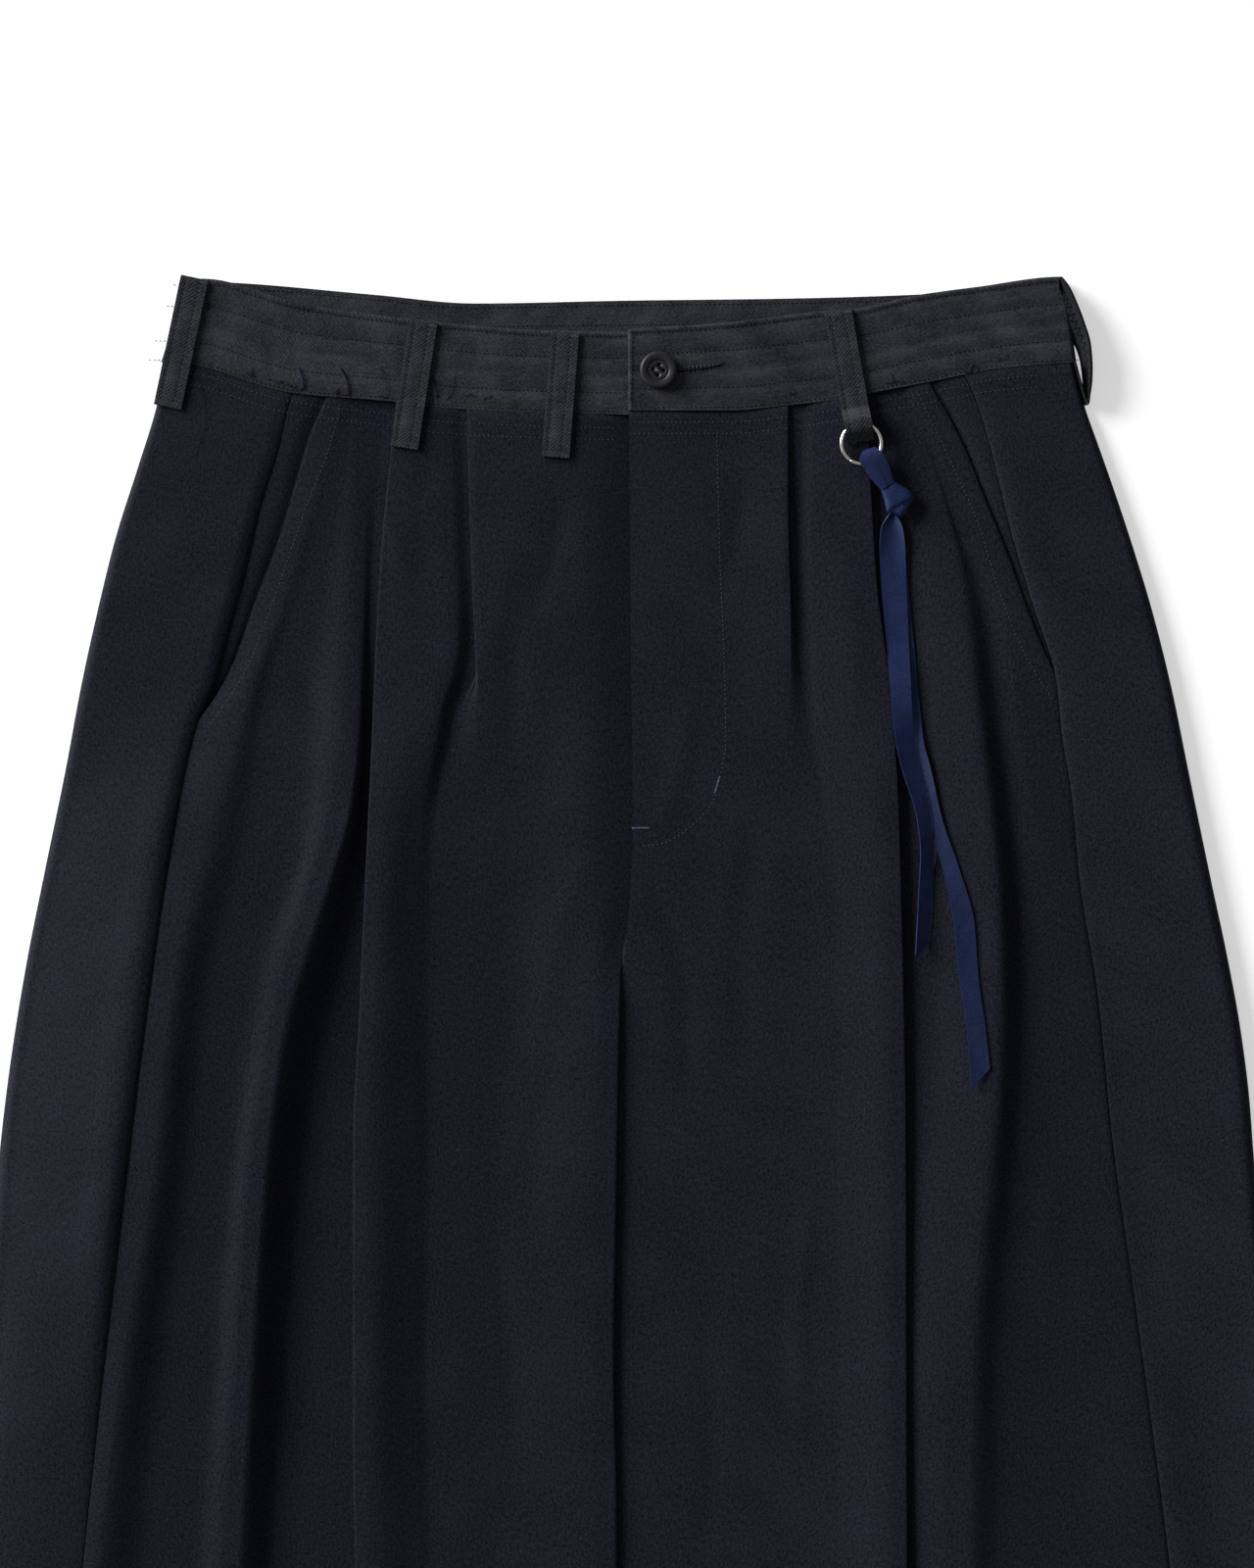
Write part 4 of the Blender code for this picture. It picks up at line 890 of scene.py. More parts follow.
@dataclass(frozen=True)
class BrushedTwill:
    """The charcoal reverse of the cloth: brushed, mottled, with a coarser twill and slubs along it."""

    name: str = "charcoal_twill"
    dark: Triple = (0.0060, 0.0064, 0.0078)
    light: Triple = (0.0330, 0.0346, 0.0416)
    twill_pitch: float = 0.0013
    twill_turn: float = -48.0

    def make(self) -> Material:
        """The finish as a material."""
        shader = Shader(self.name)
        shader.set(
            specular_ior_level=0.08, sheen_weight=0.03, sheen_roughness=0.5, sheen_tint=(0.80, 0.82, 0.84, 1.0)
        )
        cloth = shader.cloth_place()
        twill = shader.ribs(cloth, self.twill_turn, self.twill_pitch, 2.6)
        fibre = shader.noise(shader.stretched(cloth, 0.0, (300.0, 1400.0, 1.0)), 1.0, 4.0)
        fleck = shader.noise(cloth, 950.0, 3.0)
        slub = shader.noise(shader.stretched(cloth, 0.0, (38.0, 160.0, 1.0)), 1.0, 4.0)
        cloud = shader.noise(cloth, 60.0, 3.0)
        tone = shader.total((twill, 0.10), (fibre, 0.30), (fleck, 1.30), (slub, 0.30), (cloud, 0.85))
        colour = shader.blend(shader.part_way(tone, 1.10, 1.75), self.dark, self.light)
        normal = shader.bump(shader.math("ADD", twill, fibre), 0.00009)
        normal = shader.bump(slub, 0.00045, normal)
        normal = shader.bump(cloud, 0.0009, normal)
        return shader.finish(colour, shader.span(fleck, 0.78, 0.95), normal)


@dataclass(frozen=True)
class RibbonWeave:
    """Blue ribbon with fine crosswise ribs and a soft sheen."""

    name: str = "blue_ribbon"
    dark: Triple = (0.0038, 0.0071, 0.0255)
    light: Triple = (0.0121, 0.0223, 0.0840)
    rib_pitch: float = 0.00046

    def make(self) -> Material:
        """The finish as a material."""
        shader = Shader(self.name)
        shader.set(
            specular_ior_level=0.12, sheen_weight=0.04, sheen_roughness=0.35, sheen_tint=(0.45, 0.55, 1.0, 1.0)
        )
        cloth = shader.cloth_place()
        ribs = shader.ribs(cloth, 90.0, self.rib_pitch, 0.8)
        fleck = shader.noise(cloth, 1000.0, 2.0)
        drift = shader.noise(cloth, 130.0, 3.0)
        tone = shader.total((ribs, 0.30), (fleck, 0.45), (drift, 0.30))
        colour = shader.blend(shader.part_way(tone, 0.38, 0.67), self.dark, self.light)
        normal = shader.bump(ribs, 0.00005)
        normal = shader.bump(drift, 0.0002, normal)
        return shader.finish(colour, shader.span(fleck, 0.42, 0.62), normal)


@dataclass(frozen=True)
class SilverWire:
    """Polished silver-coloured wire, finely drawn along its length."""

    name: str = "silver_wire"
    bright: Triple = (0.90, 0.86, 0.81)
    dull: Triple = (0.72, 0.68, 0.63)

    def make(self) -> Material:
        """The finish as a material."""
        shader = Shader(self.name)
        shader.set(metallic=1.0)
        place_on = shader.node("ShaderNodeTexCoord").outputs["Object"]
        wear = shader.noise(place_on, 420.0, 4.0)
        scratch = shader.noise(place_on, 2600.0, 2.0)
        colour = shader.blend(wear, self.dull, self.bright)
        return shader.finish(colour, shader.span(scratch, 0.12, 0.30), shader.bump(scratch, 0.00001))


@dataclass(frozen=True)
class ButtonResin:
    """Near-black button resin with faint clouds in it."""

    name: str = "button"
    dark: Triple = (0.0088, 0.0090, 0.0104)
    light: Triple = (0.0165, 0.0168, 0.0190)

    def make(self) -> Material:
        """The finish as a material."""
        shader = Shader(self.name)
        shader.set(specular_ior_level=0.18, coat_weight=0.02, coat_roughness=0.4)
        place_on = shader.node("ShaderNodeTexCoord").outputs["Object"]
        cloud = shader.noise(place_on, 240.0, 4.0)
        grain = shader.noise(place_on, 3000.0, 2.0)
        colour = shader.blend(cloud, self.dark, self.light)
        return shader.finish(colour, shader.span(grain, 0.36, 0.50), shader.bump(grain, 0.000012))


@dataclass(frozen=True)
class Thread:
    """Twisted sewing thread of a colour."""

    name: str
    colour: Triple
    roughness: float = 0.55

    def make(self) -> Material:
        """The finish as a material."""
        shader = Shader(self.name)
        shader.set(specular_ior_level=0.08, sheen_weight=0.02, sheen_roughness=0.4)
        place_on = shader.node("ShaderNodeTexCoord").outputs["Object"]
        twist = shader.noise(place_on, 2600.0, 2.0)
        darker = tuple(value * 0.6 for value in self.colour)
        colour = shader.blend(twist, darker, self.colour)
        rough = shader.span(twist, self.roughness - 0.1, self.roughness + 0.1)
        return shader.finish(colour, rough, shader.bump(twist, 0.00004))


def stocked(recipe: Gabardine | BrushedTwill | RibbonWeave | SilverWire | ButtonResin | Thread) -> Material:
    """A field that holds a finish, made when the finishes are."""
    return field(default_factory=recipe.make)


@dataclass
class Finishes:
    """Every finish of the slacks, made once."""

    gabardine: Material = stocked(Gabardine())
    twill: Material = stocked(BrushedTwill())
    # A darker copy of the charcoal twill for the standing loop's steep inner face: partly the cloth's darker reverse,
    # partly painted shade for a face turned from the light.
    twill_inside: Material = stocked(
        BrushedTwill("charcoal_twill_inside", (0.0016, 0.0018, 0.0024), (0.0092, 0.0102, 0.0130))
    )
    ribbon: Material = stocked(RibbonWeave())
    wire: Material = stocked(SilverWire())
    resin: Material = stocked(ButtonResin())
    # Navy thread lighter than the cloth: partly the thread's own tone, partly a painted highlight for the light caught
    # on its round stitches.
    navy_thread: Material = stocked(Thread("navy_thread", (0.058, 0.070, 0.108)))
    bar_thread: Material = stocked(Thread("bar_tack_thread", (0.085, 0.094, 0.180)))
    grey_thread: Material = stocked(Thread("charcoal_thread", (0.0030, 0.0033, 0.0046), 0.9))
    pale_thread: Material = stocked(Thread("pale_thread", (0.085, 0.095, 0.125), 0.6))
    dark_thread: Material = stocked(Thread("dark_thread", (0.0022, 0.0025, 0.0045), 0.9))
    charcoal_fibre: Material = stocked(Thread("charcoal_fibre", (0.022, 0.023, 0.028), 0.9))
    loose_thread: Material = stocked(Thread("loose_thread", (0.0062, 0.0050, 0.0160), 0.9))
    violet_thread: Material = stocked(Thread("violet_thread", (0.030, 0.024, 0.058), 0.8))


@dataclass
class Panel:
    """What the front and back panels share: a side, its seams and how finely it is made."""

    side: Side
    finishes: Finishes
    detail: int = 3
    wall: float = 0.85

    @property
    def foot(self) -> Curve:
        """The front waist seam of this side."""
        return BAND_FOOT[self.side]

    @property
    def folds(self) -> Folds:
        """This side's fold lines."""
        return RIGHT_FOLDS if self.side == RIGHT else LEFT_FOLDS

    @property
    def word(self) -> str:
        """This side's name, in lower case."""
        return self.side.name.lower()

    def level(self, foot: Curve, row: float, out: float) -> float:
        """How far down a point of a row lies: rows follow the curved waist seam and then straighten."""
        fade = clamp(1 - (row - WAIST_DOWN) / WAIST_FADE)
        return row + (foot(self.side * out) + SEAM_GAP - WAIST_DOWN) * fade

    def crossing(self, line: Curve, row: float) -> Pair:
        """Where a fold line crosses a row, as (out, down)."""
        down = row
        out = 0.0
        for _ in range(4):
            out = line(down)
            down = self.level(self.foot, row, out)
        return out, down

    def sew(self, kind: str, rows: list[list[Vector]], held: Held, rests_on: str) -> Object:
        """Makes a piece of this side.

        Args:
            kind: what the piece is, such as front.
            rows: its points, from the waist seam to the hem.
            held: how it lies.
            rests_on: what it lies on.

        Returns:
            The piece.
        """
        sheet = Sheet(f"{kind}_{self.word}", tucked(rows), self.wall)
        return sheet.state(sheet.build(self.finishes.gabardine), "navy_gabardine", held, [rests_on])


@dataclass
class FrontPanel(Panel):
    """A front panel with its two knife pleats, from its pocket's edge and side seam to the centre."""

    wall: float = 0.5
    lip_width: float = 6.0
    crisp: float = 0.05
    shelf_reach: float = 7.0
    overhang: float = 2.4
    flat_end: float = 1.6
    calm_side: float = 6.0
    calm_centre: float = 8.0
    bend: float = 0.9
    leg_wall: float = 1.9
    tucked_in: float = 6.0

    def edge(self, row: float) -> Pair:
        """Where the side edge crosses a row: the pocket's mouth, then the side seam."""
        mouth = self.crossing(POCKET_MOUTH[self.side], row)
        seam, down = self.crossing(SIDE_SEAM[self.side], row)
        seam -= SEAM_GAP / 2
        return mouth if mouth[0] < seam and row < POCKET_SHUT_ROW else (seam, down)

    def turns(self, pleat: Pleat, row: float, low: float) -> list[Pair]:
        """The two turns of a knife pleat, from its lower layer to its top layer."""
        edge, down = self.crossing(pleat.edge, row)
        high = pleat.height(down)
        lip = clamp((high - low - LAYER) / 2, LAYER / 2, FOLD_LIP)
        under = half_turn(edge - pleat.depth(down), low, low + LAYER, -LAYER / 2, 3 * self.detail)
        over = half_turn(edge, high - 2 * lip, high, lip * 0.03, 4 * self.detail)
        return under + over + [(edge - self.crisp, high)]

    def section(self, row: float) -> list[Pair]:
        """The panel's cross-section at a row, from the side to the centre, as (out, height)."""
        folds = self.folds

        def on(line: Line) -> Pair:
            """Where a line crosses this row, and its height there."""
            out, down = self.crossing(line.out, row)
            return out, line.height(down)

        edge_out, edge_down = self.edge(row)
        edge_height = SEAM_HEIGHT[self.side](edge_down)
        rise = 0.3 if row >= POCKET_SHUT_ROW else 0.2
        floor = on(folds.floor)
        outer = self.turns(folds.outer_pleat, row, FIRST_LAYER + 0.2)
        side_wave = wave(
            [(edge_out, edge_height), (edge_out - 1.5, edge_height + rise), on(folds.roll), on(folds.dip),
             on(folds.rise), on(folds.crest), on(folds.brow), floor, outer[0]],
            [n * self.detail for n in (1, 3, 2, 2, 2, 3, 3, 1)],
        )
        valley = on(folds.valley)
        inner = self.turns(folds.inner_pleat, row, valley[1])
        opened = folds.inner_pleat.opened(self.crossing(folds.inner_pleat.edge, row)[1])
        edge = inner[-1]
        top = outer[-1]
        past_fold = (top[0] - self.lip_width, top[1] + 0.05)
        broad = on(folds.broad)
        slope = Curve(*[(-out, height) for out, height in (top, past_fold, valley, edge, broad)])
        made = []
        for step, folded in enumerate(inner, 1):
            flat_out = mix(valley[0], edge[0], step / len(inner))
            flat = (flat_out, slope(-flat_out))
            made.append((mix(folded[0], flat[0], opened), mix(folded[1], flat[1], opened)))
        beside = valley[0] + self.shelf_reach
        kept = (past_fold[0] - beside) / (past_fold[0] - valley[0])
        shelf = (beside, mix(past_fold[1], valley[1], kept) + folds.shelf(edge_down))
        middle_wave = wave([top, past_fold, shelf, valley, made[0]], [n * self.detail for n in (2, 2, 2, 1)])
        end = self.centre_end(row, on(folds.shoulder)[1])
        centre_wave = wave([edge, broad, on(folds.shoulder), end[0]], [3 * self.detail] * 3)
        return side_wave + outer[1:] + middle_wave[1:] + made[1:] + centre_wave[1:] + end[1:]

    def centre_end(self, row: float, shoulder: float) -> list[Pair]:
        """The section's last points: flat at the centre seam, or turned down round the inner leg.

        The right leg's fold bulges over the left leg's, which slides in under it.
        """
        count = 5 * self.detail
        flat_out, down = self.crossing(self.folds.centre.out, row)
        flat_height = self.folds.centre.height(down)
        turned = ease(self.folds.turned_down(down))
        inner = self.folds.inner_leg(down)
        top = shoulder - 0.3
        foot = FLOOR_LAYER + CLOTH / 2 + CLEARANCE
        made = []
        for step in range(count + 1):
            share = step / count
            back = clamp(2 * share - 1)
            if self.side == RIGHT:
                turn = math.pi * clamp(2 * share)
                fold = inner + self.leg_wall - self.overhang - self.bend * math.sin(turn)
                turned_out = mix(fold, inner + self.tucked_in, ease(1.5 * back))
                turned_height = mix(top - self.bend * (1 - math.cos(turn)), foot, ease(back))
            else:
                turned_out = mix(inner - 2.5, inner - 4.5, share)
                turned_height = mix(foot, top, ease(1 - share))
            out = mix(mix(flat_out + self.flat_end, flat_out, share), turned_out, turned)
            made.append((out, mix(flat_height, turned_height, turned)))
        return made

    def relief(self, out: float, down: float) -> float:
        """How far the given creases lift the cloth at a place."""
        return sum(item.lift(out, down) for item in FRONT_CREASES[self.side])

    def build(self) -> Object:
        """Makes the panel, whose creases fade towards its side edge and its centre."""
        rows = []
        for row in PANEL_ROWS:
            points = []
            edge = self.edge(row)[0]
            for out, height in self.section(row):
                down = self.level(self.foot, row, out)
                free = ease((edge - out) / self.calm_side) * ease((out - 4) / self.calm_centre)
                points.append(place(out, down, height + self.relief(out, down) * free, self.side))
            rows.append(points)
        return self.sew("front", rows, Held.FOLDED, f"back_{self.word}")


@dataclass
class BackPanel(Panel):
    """A back panel, flat on the surface and wrapped round the side to the side seam."""

    crotch_down: float = 285.0
    crotch_run: float = 40.0
    flap_reach: float = 9.0
    rim_reach: float = 6.5
    dome: ClassVar[dict[Side, Curve]] = {
        RIGHT: curve(39, 0, 186, -0.2, 210, 1.3, 253, 6.2, 320, 8.4, 410, 7.8, 499, 4.8, 589, 2.2, HEM, 0.6),
        LEFT: curve(39, 0, 100, -0.6, 186, -2.2, 253, -3.4, 320, -3.9, 410, -4.3, 589, -4.4, HEM, -2.4),
    }

    def section(self, row: float) -> list[Triple]:
        """The panel's cross-section at a row, as (out, down, height) from the centre to the side seam."""
        behind = self.level(BAND_FOOT_BACK, row, 0)
        crotch = ease((behind - self.crotch_down) / self.crotch_run)
        centre = mix(SEAM_GAP / 2, self.folds.inner_leg(behind) - CLOTH / 2, crotch)
        fold_out, fold_down = self.crossing(SIDE_FOLD[self.side], row)
        fold_out -= CLOTH / 2
        fold_height = SIDE_FOLD_HEIGHT[self.side](fold_down)
        seam_out, seam_down = self.crossing(SIDE_SEAM[self.side], row)
        seam_out += SEAM_GAP / 2
        seam_height = SEAM_HEIGHT[self.side](seam_down)
        bulge = 1.5 * (fold_height - FLOOR_LAYER) / 2
        turn_out = fold_out - bulge
        made = []
        for out in steps(centre, turn_out, 14 * self.detail):
            down = self.level(BAND_FOOT_BACK, row, out)
            lift = sum(item.lift(out, down) for item in BACK_CREASES[self.side])
            free = ease((turn_out - out) / 20) * ease((out - centre) / 10)
            made.append((out, down, FLOOR_LAYER + lift * free))
        turn = half_turn(turn_out, FLOOR_LAYER, fold_height, bulge, 6 * self.detail)
        dome = self.dome[self.side](fold_down)
        late = ease((fold_down - 430) / 140)
        top = fold_height + dome * mix(1.0, 0.94, late)
        flap = wave(
            [(turn_out, fold_height), (turn_out - self.flap_reach, fold_height + dome * mix(0.22, 0.6, late)),
             (mix(turn_out, seam_out, 0.6), fold_height + dome * mix(0.72, 1.0, late)),
             (seam_out + self.rim_reach, top), (seam_out + 1.4, mix(seam_height, top, 0.5)),
             (seam_out, seam_height)],
            [n * self.detail for n in (1, 3, 4, 2, 1)],
        )
        for out, height in turn + flap[1:]:
            made.append((out, self.level(self.foot, row, out), height))
        return made

    def build(self) -> Object:
        """Makes the panel."""
        rows = [[place(*point, self.side) for point in self.section(row)] for row in PANEL_ROWS]
        return self.sew("back", rows, Held.FOLDED, "the surface below")


@dataclass
class PocketFacing(Panel):
    """The strip of facing that shows between a pocket's slanted edge and the side seam."""

    def build(self) -> Object:
        """Makes the facing."""
        front = FrontPanel(self.side, self.finishes)
        columns = 16
        rows = []
        for row in [*steps(WAIST_DOWN, POCKET_END_DOWN[self.side], 30), POCKET_END_DOWN[self.side]]:
            seam, seam_down = self.crossing(SIDE_SEAM[self.side], row)
            mouth, _ = front.edge(row)
            outer = seam - SEAM_GAP / 2
            inner = mouth - FACING_TUCK
            lift = clamp((outer - mouth - 2) / 8) * (SEAM_HEIGHT[self.side](seam_down) - FIRST_LAYER)
            points = []
            for column in range(columns + 1):
                out = mix(outer, inner, column / columns)
                rise = 1 - (1 - clamp((out - mouth - 0.6) / max(outer - mouth - 1, 1.0))) ** 3
                points.append(place(out, self.level(self.foot, row, out), FIRST_LAYER + lift * rise, self.side))
            rows.append(points)
        return self.sew("pocket_facing", rows, Held.LAID, f"back_{self.word}")


@dataclass
class Waistband:
    """The waistband, one strip from the underlap round the back to the overlap, quilted by rows of stitches."""

    finishes: Finishes
    wall: float = 1.8
    back_height: float = 0.9
    front_height: float = 3.6
    overlap_height: float = 5.8
    overlap_end: float = 0.9
    underlap_end: float = -26.0
    overlap_settles: float = 118.0
    puff: float = 0.8
    deep: float = 36.0
    stitch_reach: float = 0.09
    fold_top: ClassVar[dict[Side, float]] = {RIGHT: 198.5, LEFT: 197.5}
    fold_foot: ClassVar[dict[Side, float]] = {RIGHT: 210.5, LEFT: 203.0}
    stitch_shares: ClassVar[tuple[float, ...]] = (0.055, 0.31, 0.53, 0.735, 0.965)
    sewn_shares: ClassVar[tuple[float, ...]] = (0.055, 0.31, 0.735, 0.965)
    top_shares: ClassVar[tuple[float, ...]] = (0.0, 0.007, 0.014, 0.022, 0.031, 0.041, 0.053)
    end_insets: ClassVar[tuple[float, ...]] = (2.4, 1.9, 1.5, 1.1, 0.8, 0.5, 0.25, 0.0)

    def columns(self) -> list[tuple[float, float, Side, float]]:
        """The strip's columns, as (signed out at the top, height, side, share of the back)."""
        columns = []
        front_steps = 170
        back_steps = 90
        turn_steps = 12
        right_fold = -self.fold_top[RIGHT]
        left_fold = self.fold_top[LEFT]
        span = self.front_height - self.back_height
        for out in steps(-self.underlap_end, right_fold, front_steps):
            columns.append((out, self.front_height, RIGHT, 0.0))
        for out, height in half_turn(right_fold, self.front_height, self.back_height, -1.4, turn_steps):
            columns.append((out, height, RIGHT, (self.front_height - height) / span))
        for out in steps(right_fold, left_fold, back_steps)[1:]:
            columns.append((out, self.back_height, RIGHT if out < 0 else LEFT, 1.0))
        for out, height in half_turn(left_fold, self.back_height, self.front_height, 1.4, turn_steps):
            columns.append((out, height, LEFT, (self.front_height - height) / span))
        front = [out for out in steps(left_fold, self.overlap_end, front_steps)[1:] if out >= self.overlap_end + 3.0]
        for out in [*front, *(self.overlap_end + inset for inset in self.end_insets)]:
            lift = (self.overlap_height - self.front_height) * ease((self.overlap_settles - out) / 100)
            columns.append((out, self.front_height + lift, LEFT, 0.0))
        return columns

    def rim(self, inset: float) -> float:
        """How a turned edge swells over the seam allowance inside it and then rounds off."""
        return 0.26 * bell(inset, 0.9, 0.6) - 0.35 * bell(inset, 0, 0.4)

    @classmethod
    def point_on(cls, out: float, side: Side, back: float, share: float) -> Pair:
        """A place on the band, as (signed out, down), a share of the way from its top edge to its foot."""
        fold = RIGHT if out < 0 else LEFT
        foot_out = out * cls.fold_foot[fold] / cls.fold_top[fold]
        top = mix(BAND_TOP[side](out), BAND_TOP_BACK(out), back)
        foot = mix(BAND_FOOT[side](foot_out), BAND_FOOT_BACK(foot_out), back)
        return mix(out, foot_out, share), mix(top, foot, share)

    def swell(self, share: float, out: float) -> float:
        """How far the cloth swells between the rows of stitches, unevenly along the band."""
        swell = 1.0
        for row in self.stitch_shares:
            swell = min(swell, ease(abs(share - row) / self.stitch_reach))
        uneven = 0.7 + 0.45 * math.sin(out * 0.061 + 9 * share) * math.sin(out * 0.027 + 5 * share + 2.1)
        pucker = 0.05 * math.sin(out * 1.15 + 3 * share) * (1 - swell)
        return self.puff * (swell - 1) * uneven + pucker

    def build(self) -> Object:
        """Makes the band."""
        columns = self.columns()
        count = 44
        rows = []
        for share in (*self.top_shares, *(step / count for step in range(3, count + 1))):
            points = []
            for index, (out, height, side, back) in enumerate(columns):
                across, down = self.point_on(out, side, back, share)
                facing = max(1.0 - 2.0 * back, 0.0)
                inset = share * self.deep
                if index > len(columns) / 2 and back == 0.0:
                    inset = min(inset, out - self.overlap_end)
                relief = self.swell(share, out) * 0.5 + self.rim(inset)
                points.append(place(across, down, height + relief * facing))
            rows.append(points)
        sheet = Sheet("waistband", rows, self.wall)
        deep, _, area = Sheet("", [[row[i] for row in rows] for i in range(len(rows[0]))]).cut()
        long = sum((b - a).length for a, b in zip(rows[0], rows[0][1:]))
        made = sheet.build(self.finishes.twill)
        return sheet.state(
            made, "charcoal_twill", Held.FOLDED, ["front_right", "front_left"], cut=(long, deep, area)
        )


class Track:
    """A smooth line through places seen from above, as (X, down) in millimetres, measured along its length."""

    def __init__(self, places: Sequence[Pair]) -> None:
        """Joins the places.

        Args:
            places: (X, down) of each place that the line passes through.
        """
        runs = [0.0]
        for a, b in zip(places, places[1:]):
            runs.append(runs[-1] + math.dist(a, b))
        self.length = runs[-1]
        self.x = Curve(*[(run, place[0]) for run, place in zip(runs, places)])
        self.down = Curve(*[(run, place[1]) for run, place in zip(runs, places)])

    def at(self, run: float) -> Pair:
        """The place a distance along the line."""
        return self.x(run), self.down(run)

    def share(self, share: float) -> Pair:
        """The place a share of the way along the line."""
        return self.at(share * self.length)


@dataclass
class Threadwork:
    """Threads set down on the cloth, gathered into one piece."""

    name: str
    cover: Cover
    finish: Material
    slot: str
    seed: int = 5
    mesher: Mesher = field(default_factory=Mesher)

    def __post_init__(self) -> None:
        """Seeds the unevenness of the threads."""
        self.chance = random.Random(self.seed)

    def finished(self) -> Object:
        """Makes all the threads as one piece."""
        return dress(self.mesher.build(self.name, self.finish))


@dataclass
class Sewing(Threadwork):
    """Machine stitching on the cloth, each stitch a short length of thread that dips into it at both ends."""

    seed: int = 11
    radius: float = 0.17
    pitch: float = 2.1
    share: float = 0.5

    def row(self, places: Sequence[Pair], inset: float = 0.4) -> None:
        """Sews one row along (X, down) places, from the inset to the same distance before the end."""
        track = Track(places)
        count = int((track.length - 2 * inset) / self.pitch)
        for index in range(count):
            start = inset + index * self.pitch + self.chance.uniform(-0.12, 0.12)
            end = start + self.pitch * self.share * self.chance.uniform(0.85, 1.1)
            self.stitch(track.at(start), track.at(end))

    def stitch(self, start: Pair, end: Pair, fat: float = 1.0) -> None:
        """Sews one stitch between two (X, down) places."""
        radius = self.radius * fat
        path = []
        for share, lift in ((0, -0.9), (0.22, 0.35), (0.78, 0.35), (1, -0.9)):
            x = mix(start[0], end[0], share)
            down = mix(start[1], end[1], share) + self.chance.uniform(-0.03, 0.03)
            path.append(self.cover.on(x, down, lift * radius))
        self.mesher.thread(path, [radius * MM * k for k in (0.5, 1.0, 1.0, 0.5)], 5)

    def bar(self, start: Pair, end: Pair, width: float, count: int) -> None:
        """Sews a bar tack: close short stitches across a line."""
        along = Vector((end[0] - start[0], end[1] - start[1]))
        across = Vector((-along.y, along.x)).normalized() * width / 2
        for index in range(count):
            middle = Vector(start) + along * (index + 0.5) / count
            slant = along.normalized() * 0.25
            self.stitch(tuple(middle - across - slant), tuple(middle + across + slant), 1.15)


@dataclass
class Fray(Threadwork):
    """Loose threads and fibres that lie on the cloth or stand a little off it."""

    def thread(self, places: Sequence[Pair], radius: float, lift: float) -> None:
        """Lays one loose thread along (X, down) places, standing off the cloth in its middle."""
        track = Track(places)
        count = max(6, round(track.length / 1.2))
        path = []
        for step in range(count + 1):
            hump = lift * math.sin(math.pi * (step / count))
            path.append(self.cover.on(*track.share(step / count), radius * 0.8 + hump))
        self.mesher.thread(path, [radius * MM * (0.6 if i in (0, count) else 1.0) for i in range(count + 1)], 5)

    def fibre(self, x: float, down: float, angle: float, length: float, radius: float) -> None:
        """Lays one short crooked fibre from a place, in a direction where 0 is +X and 90 is towards the hem."""
        places = [(x, down)]
        turn = math.radians(angle)
        bend = self.chance.uniform(-0.5, 0.5)
        for _ in range(4):
            x += math.cos(turn) * length / 4
            down += math.sin(turn) * length / 4
            turn += bend + self.chance.uniform(-0.25, 0.25)
            places.append((x, down))
        path = []
        for index, place_on in enumerate(places):
            path.append(self.cover.on(*place_on, radius + self.chance.uniform(0.0, 0.12) * index))
        self.mesher.thread(path, [radius * MM * k for k in (1.0, 1.0, 0.9, 0.8, 0.5)], 4)

    def fringe(self, places: Sequence[Pair], count: int, lengths: Pair, angles: Pair, radius: float) -> None:
        """Scatters fibres along a line.

        Args:
            places: the line, as (X, down).
            count: how many fibres.
            lengths: shortest and longest fibre.
            angles: the range of directions.
            radius: a fibre's radius.
        """
        track = Track(places)
        for _ in range(count):
            x, down = track.share(self.chance.random())
            self.fibre(
                x, down + self.chance.uniform(-0.35, 0.2), self.chance.uniform(*angles),
                self.chance.uniform(*lengths) * self.chance.uniform(0.4, 1.0), radius * self.chance.uniform(0.6, 1.1),
            )


def draped(bare: Sequence[float], bridge: int, soften: int) -> list[float]:
    """Heights of a strip that bears on the high places under it and bridges the low ones.

    Args:
        bare: the least height at each station.
        bridge: how many stations on each side it spans level.
        soften: how many stations on each side its bends are rounded over.

    Returns:
        The height at each station.
    """
    held = [max(bare[max(i - bridge, 0):i + bridge + 1]) for i in range(len(bare))]
    soft = []
    for i in range(len(held)):
        near = held[max(i - soften, 0):i + soften + 1]
        soft.append(max(sum(near) / len(near), bare[i]))
    return soft


